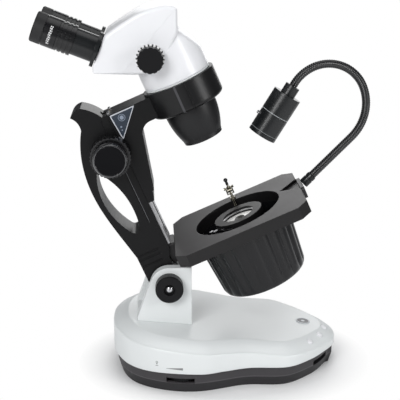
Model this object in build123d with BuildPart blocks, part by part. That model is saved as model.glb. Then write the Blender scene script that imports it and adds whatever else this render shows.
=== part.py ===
"""Stereo microscope on an inclinable gem stand.

The origin is on the floor under the middle of the base. +X runs from the back of the base to its
nose, +Z is up, and the microscope is symmetric about the XZ plane apart from its side fittings.
Everything that leans with the stand is drawn upright in a stand frame: its origin is beside the
tilt axis, its x runs from the arm towards the stage, and its z runs along the arm. level(), side() and
barrel() give planes of that frame where they lie once the stand leans back.
"""

import os
from math import asin, atan2, cos, degrees, hypot, pi, radians, sin, sqrt, tan

from build123d import *

# --------------------------------------------------------------------------- driving dimensions
tilt_angle = 23.5  # lean of the stand, back from upright
stand_x = -75.0  # origin of the stand frame, above the origin
stand_z = 117.0
axle_x = 1.2  # tilt axis in the stand frame
axle_z = 2.8
optical_x = 118.5  # optical axis of the head and centre of the stage well, in the stand frame

running_gap = 0.05  # radial clearance of a shaft in its bearing
body_gap = 0.3  # clearance between pieces that move past each other
seat_gap = 0.05  # clearance around a piece seated in a recess

# Base: stations of half the outline, from the back to the nose.
base_back = -149.0
base_nose = 149.0
base_stations = [
    (-145.0, 36.0),
    (-127.0, 74.0),
    (-95.0, 97.0),
    (-39.0, 107.5),
    (-7.0, 100.0),
    (26.0, 91.5),
    (74.0, 91.5),
    (106.0, 71.0),
    (129.0, 46.0),
    (144.0, 24.0),
]
tray_height = 27.0
tray_step_height = 14.0
tray_step_inset = 5.0
tray_foot_inset = 9.0
base_wall = 5.5
crease_height = 50.2  # outer crease of the cover, above the origin
top_slope = 5.6  # fall of the cover's top towards the nose, in degrees
shoulder_inset = 20.0
shoulder_rise = 11.0
plate_thickness = 3.0
foot_radius = 10.0
foot_height = 4.0

# Tilt bracket
ear_inner = 25.5
ear_thickness = 12.5
ear_radius = 24.4
ear_front = 29.0
ear_foot_back = 42.0
bracket_pad = 3.0
axle_radius = 7.0
lock_knob_radius = 18.0
lock_knob_length = 15.0

# Arm, rail and focus drive
arm_width = 46.0
arm_foot_radius = 24.0
arm_front = 21.0
arm_back_depth = 39.0
arm_top = 236.0
horn_tip = (-22.5, 251.0)
horn_top = (-6.0, 257.0)
slot_half_width = 5.5
slot_bottom = 60.0
slot_depth = 9.0
rail_thickness = 3.0
rail_half_width = 20.0
rail_bottom = 50.0
focus_x = 5.0
focus_z = 190.0
focus_shaft_radius = 5.0
gear_module = 1.5
pinion_teeth = 12
tooth_share = 0.4  # tooth thickness at the pitch line, over the pitch
tooth_addendum = 1.2
tooth_dedendum = 1.7
gear_width = 8.0
knob_ring_radius = 25.6
knob_cap_radius = 21.2
knob_ring_start = 27.0
knob_ring_end = 50.0
knob_cap_end = 65.0
knob_flutes = 32

# Carriage and collar
carriage_width = 50.0
carriage_top = 235.4
carriage_bottom = 112.0
collar_radius = 47.3
collar_bore = 38.0
collar_bottom = 203.0
collar_top = 238.7
badge_thickness = 0.8

# Head
head_half_width = 47.0
head_bottom = 241.0
head_drum_radius = 43.0
head_wall = 4.0
eyetube_spacing = 60.0
eyetube_line = 254.7  # x + z of the eyetube axes in the stand frame, over the root of 2
face_level = 189.6  # z - x of the eyepiece face, over the root of 2
flange_radius = 22.0
flange_thickness = 4.3
sleeve_radius = 16.7
sleeve_end = 236.0
eyetube_bore = 15.05
throat_radius = 13.0
throat_depth = 8.0
swing_offset = 24.0
swing_travel = 4.4
dioptre_radius = 18.9
dioptre_start = 221.0
dioptre_end = 241.0
eyepiece_radius = 19.0
eyecup_start = 259.0
eyecup_end = 271.5
zoom_x = 100.0
zoom_z = 281.5
zoom_shaft_radius = 4.0
zoom_knob_radius = 15.8
zoom_scale_radius = 16.4
zoom_scale_height = 4.0
zoom_knob_length = 13.0
zoom_knob_lobes = 14
cup_top_radius = 33.7
cup_rim_radius = 25.4
cup_bottom = 157.0
cup_wall = 2.5
cup_thread_radius = 24.0
cup_thread_length = 6.0
objective_spacing = 22.0

# Stage, well and lamp housing
stage_back = 28.4
stage_length = 177.8
stage_width = 160.0
stage_corner = 14.0
stage_top = 45.8
stage_thickness = 15.8
well_radius = 58.5
housing_top_radius = 65.0
housing_bottom_radius = 57.2
housing_bottom = -50.0
housing_wall = 3.0
iris_radius = 33.0
iris_hole = 21.0
iris_top = 44.0
iris_height = 8.0
lever_angle = 205.0
lever_reach = 44.0
reflector_radius = 30.0
stop_radius = 7.0

# Stone holder
post_y = 64.5
post_height = 13.0
rod_slope = 46.0

# Gooseneck lamp
lamp_y = 12.0
holder_width = 46.0
holder_thickness = 5.0
tongue_length = 26.0
recess_depth = 5.0
lamp_heading = 22.0
ferrule_start = (212.7, 42.8)
ferrule_radius = 6.5
ferrule_length = 16.0
neck_tube_radius = 5.5
straight_length = 87.0
bend_start = 22.0
bend_length = 36.0
bend_radii = (60.0, 49.0, 52.0)
lamp_turn = 35.0
lamp_neck_radius = 9.8
lamp_neck_length = 13.0
lamp_radius = 19.0
lamp_length = 61.6
lamp_wall = 2.5
button_radius = 2.2
button_rise = 2.6

os.makedirs("parts", exist_ok=True)

lean = radians(tilt_angle)
stand = Plane(
    origin=(stand_x, 0, stand_z),
    x_dir=(cos(lean), 0, sin(lean)),
    z_dir=(-sin(lean), 0, cos(lean)),
)
pivot = stand.from_local_coords(Vector(axle_x, 0, axle_z))
pivot_x = pivot.X
pivot_z = pivot.Z
half_arm = arm_width / 2
half_carriage = carriage_width / 2
pitch_radius = gear_module * pinion_teeth / 2
gear_pitch = pi * gear_module
ear_outer = ear_inner + ear_thickness
rail_front = arm_front + rail_thickness
stage_bottom = stage_top - stage_thickness
eye_offset = eyetube_spacing / 2


# ------------------------------------------------------------------------------------- helpers
def save(piece: BuildPart, name: str) -> None:
    """Label a finished piece and write it to its own STEP file."""
    piece.part.label = name
    export_step(piece.part, f"parts/{name}.step")


def level(height: float, x: float = 0.0, y: float = 0.0) -> Plane:
    """A plane square to the stand's arm, at a height, with its origin at (x, y)."""
    origin = stand.from_local_coords(Vector(x, y, height))
    return Plane(origin=origin, x_dir=stand.x_dir, z_dir=stand.z_dir)


def side(y: float) -> Plane:
    """An upright plane of the stand at y, seen from -Y. A positive extrude goes towards -Y."""
    origin = stand.from_local_coords(Vector(0, y, 0))
    return Plane(origin=origin, x_dir=stand.x_dir, z_dir=(0, -1, 0))


def barrel(along: float, y: float) -> Plane:
    """A plane square to an eyetube's axis, at a distance along it, with its x along +Y."""
    root = sqrt(2)
    place = Vector((eyetube_line - along) / root, y, (eyetube_line + along) / root)
    origin = stand.from_local_coords(place)
    tip = stand.from_local_coords(place + Vector(-1, 0, 1))
    return Plane(origin=origin, x_dir=(0, 1, 0), z_dir=tip - origin)


def heading(x: float, z: float, angle: float) -> Plane:
    """A plane square to a direction in the lamp's side view, angle degrees above its x."""
    place = Vector(x, lamp_y, z)
    step = Vector(cos(radians(angle)), 0, sin(radians(angle)))
    origin = stand.from_local_coords(place)
    tip = stand.from_local_coords(place + step)
    return Plane(origin=origin, x_dir=(0, 1, 0), z_dir=tip - origin)


def upright_axis(x: float, y: float = 0.0) -> Axis:
    """An axis along the arm through (x, y) of the stand frame."""
    return Axis(stand.from_local_coords(Vector(x, y, 0)), stand.z_dir)


def cross_bar(x: float, z: float, radius: float, y_from: float, y_to: float) -> Part:
    """A round bar along Y through (x, z) of the stand frame."""
    with BuildPart() as bar:
        with BuildSketch(side(y_from)):
            with Locations((x, z)):
                Circle(radius)
        extrude(amount=y_from - y_to)
    return bar.part


def barrel_ring(y: float, start: float, end: float, outer: float, inner: float) -> Part:
    """A ring round an eyetube's axis, or a disc when inner is zero."""
    with BuildPart() as ring:
        with BuildSketch(barrel(start, y)):
            Circle(outer)
            if inner > 0:
                Circle(inner, mode=Mode.SUBTRACT)
        extrude(amount=end - start)
    return ring.part


def inset_stations(inset: float) -> list:
    """Points of half the base outline, moved inwards along the outline's own normals."""
    ends = [(base_back, 0.0)] + base_stations + [(base_nose, 0.0)]
    points = [(base_back + inset, 0.0)]
    for before, here, after in zip(ends, base_stations, ends[2:]):
        run = hypot(after[0] - before[0], after[1] - before[1])
        across = ((after[1] - before[1]) / run, -(after[0] - before[0]) / run)
        points.append((here[0] + inset * across[0], here[1] + inset * across[1]))
    points.append((base_nose - inset, 0.0))
    return points


def base_outline(plane: Plane, inset: float) -> Sketch:
    """The outline of the base, inset all round, on a plane."""
    points = inset_stations(inset)
    with BuildSketch(plane) as outline:
        with BuildLine():
            Spline(points, tangents=((0, 1), (0, -1)))
            Spline([(x, -y) for x, y in points], tangents=((0, -1), (0, 1)))
        make_face()
    return outline.sketch


def slope_plane(height: float) -> Plane:
    """A plane that falls towards the nose, at a height above the origin."""
    fall = radians(top_slope)
    return Plane(origin=(0, 0, height), x_dir=(cos(fall), 0, -sin(fall)), z_dir=(sin(fall), 0, cos(fall)))


def cover_top(x: float) -> float:
    """Height of the cover's flat top at x."""
    return crease_height + shoulder_rise - x * tan(radians(top_slope))


# ---------------------------------------------------------------------------------------- base
def cover_solid(inset: float, foot: float, drop: float) -> Part:
    """The cover's outer form, or its hollow when inset and dropped by the wall."""
    with BuildPart() as form:
        add(base_outline(Plane.XY.offset(foot), inset))
        add(base_outline(slope_plane(crease_height - drop), inset))
        add(base_outline(slope_plane(crease_height + shoulder_rise - drop), inset + shoulder_inset))
        loft(ruled=True)
    return form.part


cover_outer = cover_solid(0.0, tray_height, 0.0)
cover_hollow = cover_solid(base_wall, tray_height - 1.0, base_wall)
with BuildPart() as base_cover:
    add(cover_outer)
    add(cover_hollow, mode=Mode.SUBTRACT)
save(base_cover, "base_cover")


def tray_solid(inset: float, foot: float, top: float) -> Part:
    """The tray's outer form, or its hollow when inset by the wall."""
    with BuildPart() as form:
        add(base_outline(Plane.XY.offset(foot), inset + tray_foot_inset))
        add(base_outline(Plane.XY.offset(tray_step_height), inset + tray_step_inset))
        add(base_outline(Plane.XY.offset(top), inset + tray_step_inset))
        loft(ruled=True)
    return form.part


wheel_radius = 20.0
wheel_width = 5.0
side_wheel_x = -59.0
side_wheel_y = -79.5
side_wheel_z = 16.5
side_wheel_turn = 11.0
nose_wheel_x = 104.0
nose_wheel_y = -30.0
nose_wheel_z = 16.0
nose_wheel_turn = -54.0
window_length = 36.0
inlet_y = 50.0
inlet_width = 11.0
inlet_height = 9.0
plate_top = foot_height + plate_thickness
tray_outer = tray_solid(0.0, 0.0, tray_height)
tray_hollow = tray_solid(base_wall, -1.0, tray_height + 1.0)


def wheel_window(x: float, y: float, z: float, turn: float) -> Part:
    """A slot for a thumbwheel through the tray's wall, turned to face the wall."""
    slot = Plane(origin=(x, y, z - wheel_width / 2 - 0.8))
    with BuildPart() as window:
        with BuildSketch(slot.rotated((0, 0, -turn))):
            with Locations((0, -wheel_radius)):
                Rectangle(window_length, 24)
        extrude(amount=wheel_width + 1.6)
    return window.part


with BuildPart() as base_tray:
    add(tray_outer)
    add(tray_hollow, mode=Mode.SUBTRACT)
    side_window = wheel_window(side_wheel_x, side_wheel_y, side_wheel_z, side_wheel_turn)
    add(side_window, mode=Mode.SUBTRACT)
    nose_window = wheel_window(nose_wheel_x, nose_wheel_y, nose_wheel_z, nose_wheel_turn)
    add(nose_window, mode=Mode.SUBTRACT)
    with BuildSketch(Plane.YZ.offset(base_back)):
        with Locations((inlet_y, plate_top + inlet_height)):
            Rectangle(inlet_width + 2 * seat_gap, inlet_height + 2 * seat_gap)
    extrude(amount=30, mode=Mode.SUBTRACT)
save(base_tray, "base_tray")

with BuildPart() as bottom_plate:
    add(base_outline(Plane.XY.offset(foot_height), tray_foot_inset + base_wall - 0.7))
    extrude(amount=plate_thickness)
save(bottom_plate, "bottom_plate")

foot_places = [(-110, 42), (-110, -42), (-30, 78), (-30, -78), (98, 36), (98, -36)]
with BuildPart() as rubber_feet:
    with BuildSketch():
        with Locations(*foot_places):
            Circle(foot_radius)
    extrude(amount=foot_height)
save(rubber_feet, "rubber_feet")

with BuildPart() as driver_board:
    with BuildSketch(Plane.XY.offset(plate_top)):
        with Locations((-20, 30)):
            Rectangle(8, 8)
        with Locations((40, -20)):
            Rectangle(8, 8)
        with Locations((-20, -20)):
            Rectangle(8, 8)
    extrude(amount=5)
    with BuildSketch(Plane.XY.offset(plate_top + 5)):
        with Locations((10, 5)):
            Rectangle(90, 70)
    extrude(amount=2)
    with BuildSketch(Plane.XY.offset(plate_top + 7)):
        with Locations((-5, 10)):
            Rectangle(32, 26)
        with Locations((38, 18), (38, -8)):
            Circle(7)
    extrude(amount=16)
save(driver_board, "driver_board")

with BuildPart() as power_inlet:
    with BuildSketch(Plane.YZ.offset(-142)):
        with Locations((inlet_y, plate_top + inlet_height)):
            Rectangle(inlet_width, inlet_height)
            Circle(3.0, mode=Mode.SUBTRACT)
    extrude(amount=15)
    with BuildSketch(Plane.YZ.offset(-127)):
        with Locations((inlet_y, plate_top + inlet_height)):
            Rectangle(inlet_width, inlet_height)
    extrude(amount=6)
    with BuildSketch(Plane.XY.offset(plate_top)):
        with Locations((-122.5, inlet_y)):
            Rectangle(3, 6)
    extrude(amount=inlet_height / 2 + 1)
save(power_inlet, "power_inlet")

badge_x = 106.0
with BuildPart() as cover_badge:
    with BuildSketch(slope_plane(crease_height + shoulder_rise)):
        with Locations((badge_x, 0)):
            Circle(9.5)
    extrude(amount=1.2)
save(cover_badge, "cover_badge")


def thumbwheel(x: float, y: float, z: float, name: str) -> None:
    """A knurled wheel on its own short spindle, standing on the bottom plate."""
    with BuildPart() as wheel:
        with BuildSketch(Plane.XY.offset(z - wheel_width / 2)):
            with Locations((x, y)):
                Circle(wheel_radius)
                with PolarLocations(wheel_radius, 40):
                    Circle(0.6, mode=Mode.SUBTRACT)
        extrude(amount=wheel_width)
        with BuildSketch(Plane.XY.offset(plate_top)):
            with Locations((x, y)):
                Circle(3)
        extrude(amount=z - wheel_width / 2 - plate_top)
    save(wheel, name)


thumbwheel(side_wheel_x, side_wheel_y, side_wheel_z, "side_dimmer_wheel")
thumbwheel(nose_wheel_x, nose_wheel_y, nose_wheel_z, "nose_dimmer_wheel")


# ------------------------------------------------------------------------------- tilt bracket
def ear_profile(plane: Plane) -> Sketch:
    """A bracket ear from the side: rounded round the tilt axis, wider at its foot."""
    foot_back = pivot_x - ear_foot_back
    front = pivot_x + ear_front
    back_foot_z = cover_top(foot_back) + bracket_pad
    front_foot_z = cover_top(front) + bracket_pad
    reach = hypot(ear_foot_back, pivot_z - back_foot_z)
    slope_angle = atan2(pivot_z - back_foot_z, ear_foot_back) + asin(ear_radius / reach)
    touch = (pivot_x - ear_radius * sin(slope_angle), pivot_z + ear_radius * cos(slope_angle))
    half_way = (pi / 2 + pi / 2 + slope_angle) / 2
    crown = (pivot_x + ear_radius * cos(half_way), pivot_z + ear_radius * sin(half_way))
    top = (pivot_x, pivot_z + ear_radius)
    with BuildSketch(plane) as profile:
        with BuildLine():
            Line((foot_back, back_foot_z), touch)
            ThreePointArc(touch, crown, top)
            Polyline(
                top,
                (front, top[1]),
                (front, front_foot_z),
                (foot_back, back_foot_z),
            )
        make_face()
    return profile.sketch


with BuildPart() as tilt_bracket:
    for face_y in (ear_outer, -ear_inner):
        extrude(ear_profile(Plane.XZ.offset(-face_y)), amount=ear_thickness, dir=(0, -1, 0))
    with BuildSketch(slope_plane(crease_height + shoulder_rise)):
        pad_back = pivot_x - ear_foot_back
        pad_front = pivot_x + ear_front
        with Locations(((pad_back + pad_front) / 2, 0)):
            Rectangle(pad_front - pad_back, 2 * ear_outer)
    extrude(amount=bracket_pad + 0.4)
    with BuildSketch(Plane.XZ.offset(-ear_outer - 1)):
        with Locations((pivot_x, pivot_z)):
            Circle(axle_radius + running_gap)
    extrude(amount=2 * ear_outer + 2, mode=Mode.SUBTRACT)
save(tilt_bracket, "tilt_bracket")

axle_end = ear_outer + 2.0
with BuildPart() as tilt_axle:
    add(cross_bar(axle_x, axle_z, axle_radius, axle_end, -axle_end))
save(tilt_axle, "tilt_axle")


def lock_knob(way: int, name: str) -> None:
    """A round lock knob on one end of the tilt axle, with a recessed cap screw."""
    start = ear_outer + body_gap
    end = start + lock_knob_length
    with BuildPart() as knob:
        add(cross_bar(axle_x, axle_z, lock_knob_radius, way * start, way * end))
        chamfer(knob.edges().filter_by(GeomType.CIRCLE), 1.2)
        bore = cross_bar(axle_x, axle_z, axle_radius + running_gap, way * start, way * (axle_end + seat_gap))
        add(bore, mode=Mode.SUBTRACT)
        add(cross_bar(axle_x, axle_z, 7.5, way * (end - 4), way * (end + 1)), mode=Mode.SUBTRACT)
        with BuildSketch(side(way * (end - 4))):
            with Locations((axle_x, axle_z)):
                RegularPolygon(5, 6)
                RegularPolygon(2.4, 6, mode=Mode.SUBTRACT)
        extrude(amount=-way * 2.5)
    save(knob, name)


lock_knob(-1, "lock_knob_near")
lock_knob(1, "lock_knob_far")

# ----------------------------------------------------------------------------------------- arm
foot_drop = sqrt(arm_foot_radius**2 - (16.0 - axle_x) ** 2)
with BuildPart() as arm:
    with BuildSketch(side(half_arm)):
        with BuildLine():
            Spline((-23, 50), (-33, 98), (-arm_back_depth, 150), (-33, 195), (-17, 231))
            ThreePointArc((-17, 231), (-16.8, 241), horn_tip)
            ThreePointArc(horn_tip, (-16, 256), horn_top)
            ThreePointArc(horn_top, (6, 247), (14, arm_top))
            Polyline((14, arm_top), (arm_front, arm_top), (arm_front, 45), (16, 34), (16, 18))
            Line((16, 18), (16, axle_z - foot_drop))
            ThreePointArc(
                (16, axle_z - foot_drop),
                (axle_x, axle_z - arm_foot_radius),
                (axle_x - arm_foot_radius, axle_z),
            )
            Line((axle_x - arm_foot_radius, axle_z), (-23, 50))
        make_face()
    extrude(amount=arm_width)
    # the hand opening, which narrows towards the focus shaft
    with BuildSketch(side(half_arm + 1)):
        with BuildLine():
            Spline((-23, 172), (-31, 140), (-25.5, 106), (-14.5, 83.5))
            ThreePointArc((-14.5, 83.5), (-7.5, 81.6), (-2.2, 88))
            Spline((-2.2, 88), (0, 112), (-4, 140), (-17, 168))
            ThreePointArc((-17, 168), (-20.5, 172.6), (-23, 172))
        make_face()
    extrude(amount=arm_width + 2, mode=Mode.SUBTRACT)
    # ribs round the foot
    for rib_z in (35, 42.5, 50):
        with BuildSketch(side(half_arm + 1)):
            with Locations((-24.5, rib_z)):
                Circle(1.6)
        extrude(amount=arm_width + 2, mode=Mode.SUBTRACT)
    # slot for the rack, and the pinion's chamber
    with BuildSketch(side(slot_half_width)):
        with Locations((arm_front - slot_depth, slot_bottom)):
            Rectangle(slot_depth + 1, arm_top - slot_bottom + 30, align=(Align.MIN, Align.MIN))
    extrude(amount=2 * slot_half_width, mode=Mode.SUBTRACT)
    pinion_room = cross_bar(focus_x, focus_z, pitch_radius + 2.5, slot_half_width, -slot_half_width)
    add(pinion_room, mode=Mode.SUBTRACT)
    bearing = cross_bar(focus_x, focus_z, focus_shaft_radius + running_gap, half_arm + 1, -half_arm - 1)
    add(bearing, mode=Mode.SUBTRACT)
    add(cross_bar(axle_x, axle_z, axle_radius + running_gap, half_arm + 1, -half_arm - 1), mode=Mode.SUBTRACT)
save(arm, "arm")

with BuildPart() as guide_rail:
    with BuildSketch(side(rail_half_width)):
        with Locations((arm_front, rail_bottom)):
            Rectangle(rail_thickness, arm_top + 2 - rail_bottom, align=(Align.MIN, Align.MIN))
    extrude(amount=2 * rail_half_width)
    with BuildSketch(side(slot_half_width)):
        with Locations((arm_front - 1, slot_bottom)):
            Rectangle(rail_thickness + 2, arm_top - slot_bottom + 30, align=(Align.MIN, Align.MIN))
    extrude(amount=2 * slot_half_width, mode=Mode.SUBTRACT)
save(guide_rail, "guide_rail")


# -------------------------------------------------------------------------------- focus drive
tooth_width = gear_pitch * tooth_share
flank = tan(radians(20))
root_radius = pitch_radius - tooth_dedendum
foot_half = tooth_width / 2 + tooth_dedendum * flank * 0.7
base_half = tooth_width / 2 + tooth_dedendum * flank
tip_half = tooth_width / 2 - tooth_addendum * flank
shaft_end = knob_ring_end
with BuildPart() as focus_shaft:
    add(cross_bar(focus_x, focus_z, focus_shaft_radius, shaft_end, -shaft_end))
    with BuildSketch(side(gear_width / 2)):
        with Locations((focus_x, focus_z)):
            Circle(root_radius)
            with PolarLocations(0, pinion_teeth):
                Polygon(
                    (root_radius - 1, -foot_half),
                    (pitch_radius + tooth_addendum, -tip_half),
                    (pitch_radius + tooth_addendum, tip_half),
                    (root_radius - 1, foot_half),
                    align=None,
                )
    extrude(amount=gear_width)
save(focus_shaft, "focus_shaft")

cap_start = knob_ring_end - 3.0
with BuildPart() as focus_knobs:
    for way in (-1, 1):
        with BuildSketch(side(way * knob_ring_start)):
            with Locations((focus_x, focus_z)):
                Circle(knob_ring_radius)
                Circle(focus_shaft_radius + seat_gap, mode=Mode.SUBTRACT)
                with PolarLocations(knob_ring_radius + 0.6, knob_flutes):
                    Circle(1.5, mode=Mode.SUBTRACT)
        extrude(amount=-way * (knob_ring_end - knob_ring_start))
        seat = cross_bar(focus_x, focus_z, knob_cap_radius + 1.5, way * cap_start, way * (knob_ring_end + 1))
        add(seat, mode=Mode.SUBTRACT)
save(focus_knobs, "focus_knobs")

with BuildPart() as focus_caps:
    for way in (-1, 1):
        with BuildSketch(side(way * cap_start)):
            with Locations((focus_x, focus_z)):
                Circle(knob_cap_radius)
                Circle(focus_shaft_radius + seat_gap, mode=Mode.SUBTRACT)
        extrude(amount=-way * 3)
        add(cross_bar(focus_x, focus_z, knob_cap_radius, way * knob_ring_end, way * knob_cap_end))
        dish_floor = knob_cap_end - 2.0
        dish = cross_bar(focus_x, focus_z, knob_cap_radius - 2.5, way * dish_floor, way * (knob_cap_end + 1))
        add(dish, mode=Mode.SUBTRACT)
save(focus_caps, "focus_caps")

# ----------------------------------------------------------------------------------- carriage
neck_end = optical_x - collar_radius + 8.0
with BuildPart() as carriage:
    with BuildSketch(side(half_carriage)):
        with BuildLine():
            Polyline(
                (arm_front + body_gap, carriage_bottom),
                (arm_front + body_gap, carriage_top),
                (neck_end, carriage_top),
                (neck_end, 208.0),
                (68.0, 208.0),
            )
            ThreePointArc((68.0, 208.0), (56.0, 203.5), (50.8, 193.0))
            Polyline(
                (50.8, 193.0),
                (34.8, 125.0),
                (32.6, 124.4),
                (29.4, carriage_bottom),
                (arm_front + body_gap, carriage_bottom),
            )
        make_face()
    extrude(amount=carriage_width)
    # groove that runs on the rail
    groove_width = 2 * rail_half_width + 2 * body_gap
    with BuildSketch(side(groove_width / 2)):
        with Locations((arm_front, carriage_bottom - 1)):
            Rectangle(
                rail_thickness + body_gap,
                carriage_top - carriage_bottom + 2,
                align=(Align.MIN, Align.MIN),
            )
    extrude(amount=groove_width, mode=Mode.SUBTRACT)
    # seat for the collar
    with BuildSketch(level(collar_bottom - 1, optical_x)):
        Circle(collar_radius + seat_gap)
    extrude(amount=collar_top - collar_bottom + 2, mode=Mode.SUBTRACT)
save(carriage, "carriage")

rack_face = focus_x + pitch_radius
rack_start = carriage_bottom + 3.0
rack_end = carriage_top - 2.0
rack_teeth = range(int((rack_start - focus_z) / gear_pitch), int((rack_end - focus_z) / gear_pitch))
with BuildPart() as focus_rack:
    with BuildSketch(side(gear_width / 2)):
        with Locations((rack_face + tooth_dedendum, rack_start)):
            Rectangle(
                rail_front + body_gap - rack_face - tooth_dedendum,
                rack_end - rack_start,
                align=(Align.MIN, Align.MIN),
            )
        for number in rack_teeth:
            middle = focus_z + (number + 0.5) * gear_pitch
            Polygon(
                (rack_face + tooth_dedendum + 0.1, middle - base_half),
                (rack_face - tooth_addendum, middle - tip_half),
                (rack_face - tooth_addendum, middle + tip_half),
                (rack_face + tooth_dedendum + 0.1, middle + base_half),
                align=None,
            )
    extrude(amount=gear_width)
save(focus_rack, "focus_rack")

screw_z = (collar_bottom + collar_top) / 2
screw_radius = 3.0
with BuildPart() as collar:
    with BuildSketch(level(collar_bottom, optical_x)):
        Circle(collar_radius)
        Circle(collar_bore, mode=Mode.SUBTRACT)
    extrude(amount=collar_top - collar_bottom)
    lower_rim = collar.edges().filter_by(GeomType.CIRCLE).sort_by(Axis(stand.origin, stand.z_dir))[:2]
    fillet(lower_rim.sort_by(SortBy.RADIUS)[-1], 5)
    # mark beside the clamping pad
    with BuildSketch(level(collar_bottom, optical_x)):
        with Locations((8, -collar_radius)):
            Rectangle(1.4, 2.4)
    extrude(amount=collar_top - collar_bottom, mode=Mode.SUBTRACT)
    with BuildSketch(side(collar_radius + 1)):
        with Locations((optical_x, screw_z)):
            Circle(screw_radius + running_gap)
    extrude(amount=collar_radius, mode=Mode.SUBTRACT)
save(collar, "collar")

with BuildPart() as collar_screw:
    add(cross_bar(optical_x, screw_z, screw_radius, collar_bore + 0.6, collar_radius + 6))
    with BuildSketch(side(collar_radius + 6)):
        with Locations((optical_x, screw_z)):
            Circle(9)
            with PolarLocations(9.5, 10):
                Circle(1.4, mode=Mode.SUBTRACT)
    extrude(amount=-12)
save(collar_screw, "collar_screw")

with BuildPart() as badge_plates:
    for way in (-1, 1):
        with BuildSketch(side(way * half_carriage)):
            with BuildLine():
                Polyline((24.5, 233.5), (55.5, 233.5), (27.5, 200.5), close=True)
            make_face()
            fillet(vertices(), 1.2)
        extrude(amount=-way * badge_thickness)
save(badge_plates, "badge_plates")


# ---------------------------------------------------------------------------------------- head
def head_side_profile(plane: Plane, shrink: float) -> Sketch:
    """Side view of the head's upper block, drawn inwards by shrink."""
    s = shrink
    with BuildLine() as outline:
        Polyline(
            (75.5 + s, 252.0 + s),
            (75.5 + s, 269.4 + s),
            (60.0 + s, 277.2 + s),
            (29.0 + 1.6 * s, 293.0 + s),
            (32.0 + 1.4 * s, 300.0),
            (61.0 + 0.7 * s, 329.0 - 0.7 * s),
        )
        Spline(
            (61.0 + 0.7 * s, 329.0 - 0.7 * s),
            (84.0, 334.0 - s),
            (114.0, 338.0 - s),
            (145.0, 332.0 - s),
        )
        Polyline(
            (145.0, 332.0 - s),
            (155.0 - s, 324.0 - s),
            (143.0 - s, 295.0),
            (161.2 - s, 269.0 - 0.5 * s),
            (161.4 - s, 252.0 + s),
            (75.5 + s, 252.0 + s),
        )
    with BuildSketch(plane) as profile:
        add(outline.line)
        make_face()
    return profile.sketch


def head_plan_profile(plane: Plane, shrink: float) -> Sketch:
    """Plan of the head's upper block: wide at the eyepieces, narrower towards the front."""
    wide = head_half_width - shrink
    narrow = 33.0 - shrink
    front = 164.0 - optical_x - shrink
    back = 20.0 - optical_x
    with BuildLine() as outline:
        Polyline((back, wide), (-8, wide), (front - 6, narrow + 4))
        ThreePointArc((front - 6, narrow + 4), (front, 0), (front - 6, -narrow - 4))
        Polyline((front - 6, -narrow - 4), (-8, -wide), (back, -wide), (back, wide))
    with BuildSketch(plane) as profile:
        add(outline.line)
        make_face()
    return profile.sketch


def head_form(shrink: float) -> Part:
    """The head's outer form, or its hollow when shrunk by the wall."""
    with BuildPart() as block:
        half = head_half_width + 4
        extrude(head_side_profile(side(half), shrink), amount=2 * half, dir=(0, -1, 0))
        plan = head_plan_profile(level(230, optical_x), shrink)
        extrude(plan, amount=130, dir=stand.z_dir, mode=Mode.INTERSECT)
    with BuildPart() as form:
        add(block.part)
        with BuildSketch(level(head_bottom, optical_x)):
            Circle(head_drum_radius - shrink)
        extrude(amount=24)
    return form.part


head_outer = head_form(0.0)
head_inner = head_form(head_wall)
with BuildPart() as head_housing:
    add(head_outer)
    for way in (-1, 1):
        scale_end = head_half_width + zoom_scale_height
        add(cross_bar(zoom_x, zoom_z, zoom_scale_radius, way * (head_half_width - 2), way * scale_end))
    add(head_inner, mode=Mode.SUBTRACT)
    with BuildSketch(level(head_bottom - 1, optical_x)):
        Circle(head_drum_radius - head_wall)
    extrude(amount=10, mode=Mode.SUBTRACT)
    for way in (-1, 1):
        with BuildSketch(barrel(face_level - 12, way * eye_offset)):
            SlotOverall(2 * (throat_radius + swing_travel + 0.3), 2 * throat_radius + 1.6)
        extrude(amount=20, mode=Mode.SUBTRACT)
    add(cross_bar(zoom_x, zoom_z, zoom_shaft_radius + running_gap, 60, -60), mode=Mode.SUBTRACT)
save(head_housing, "head_housing")

ring_radius = collar_bore - running_gap
cup_join = collar_bottom + 3.0
with BuildPart() as mount_ring:
    with BuildSketch(level(cup_join, optical_x)):
        Circle(ring_radius)
        Circle(30, mode=Mode.SUBTRACT)
    extrude(amount=collar_top + body_gap - cup_join)
    with BuildSketch(level(collar_top + body_gap, optical_x)):
        Circle(head_drum_radius)
        Circle(30, mode=Mode.SUBTRACT)
    extrude(amount=head_bottom - collar_top - body_gap)
save(mount_ring, "mount_ring")

with BuildPart() as objective_cup:
    with BuildSketch(side(0)):
        with BuildLine():
            x = optical_x
            w = cup_wall
            outer_top = (x + cup_top_radius, cup_join)
            outer_middle = (x + cup_top_radius - 1.2, 184)
            outer_low = (x + cup_rim_radius + 0.6, 161.5)
            Line((x + cup_top_radius - w, cup_join), outer_top)
            ThreePointArc(outer_top, outer_middle, outer_low)
            Polyline(
                outer_low,
                (x + cup_rim_radius + 0.6, 160),
                (x + cup_rim_radius, 160),
                (x + cup_rim_radius, cup_bottom),
                (x + cup_thread_radius, cup_bottom),
                (x + cup_thread_radius, cup_bottom + cup_thread_length),
                (x + cup_top_radius - 1.2 - 2 * w, 184),
                (x + cup_top_radius - w, cup_join),
            )
        make_face()
    revolve(axis=upright_axis(optical_x))
save(objective_cup, "objective_cup")

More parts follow.
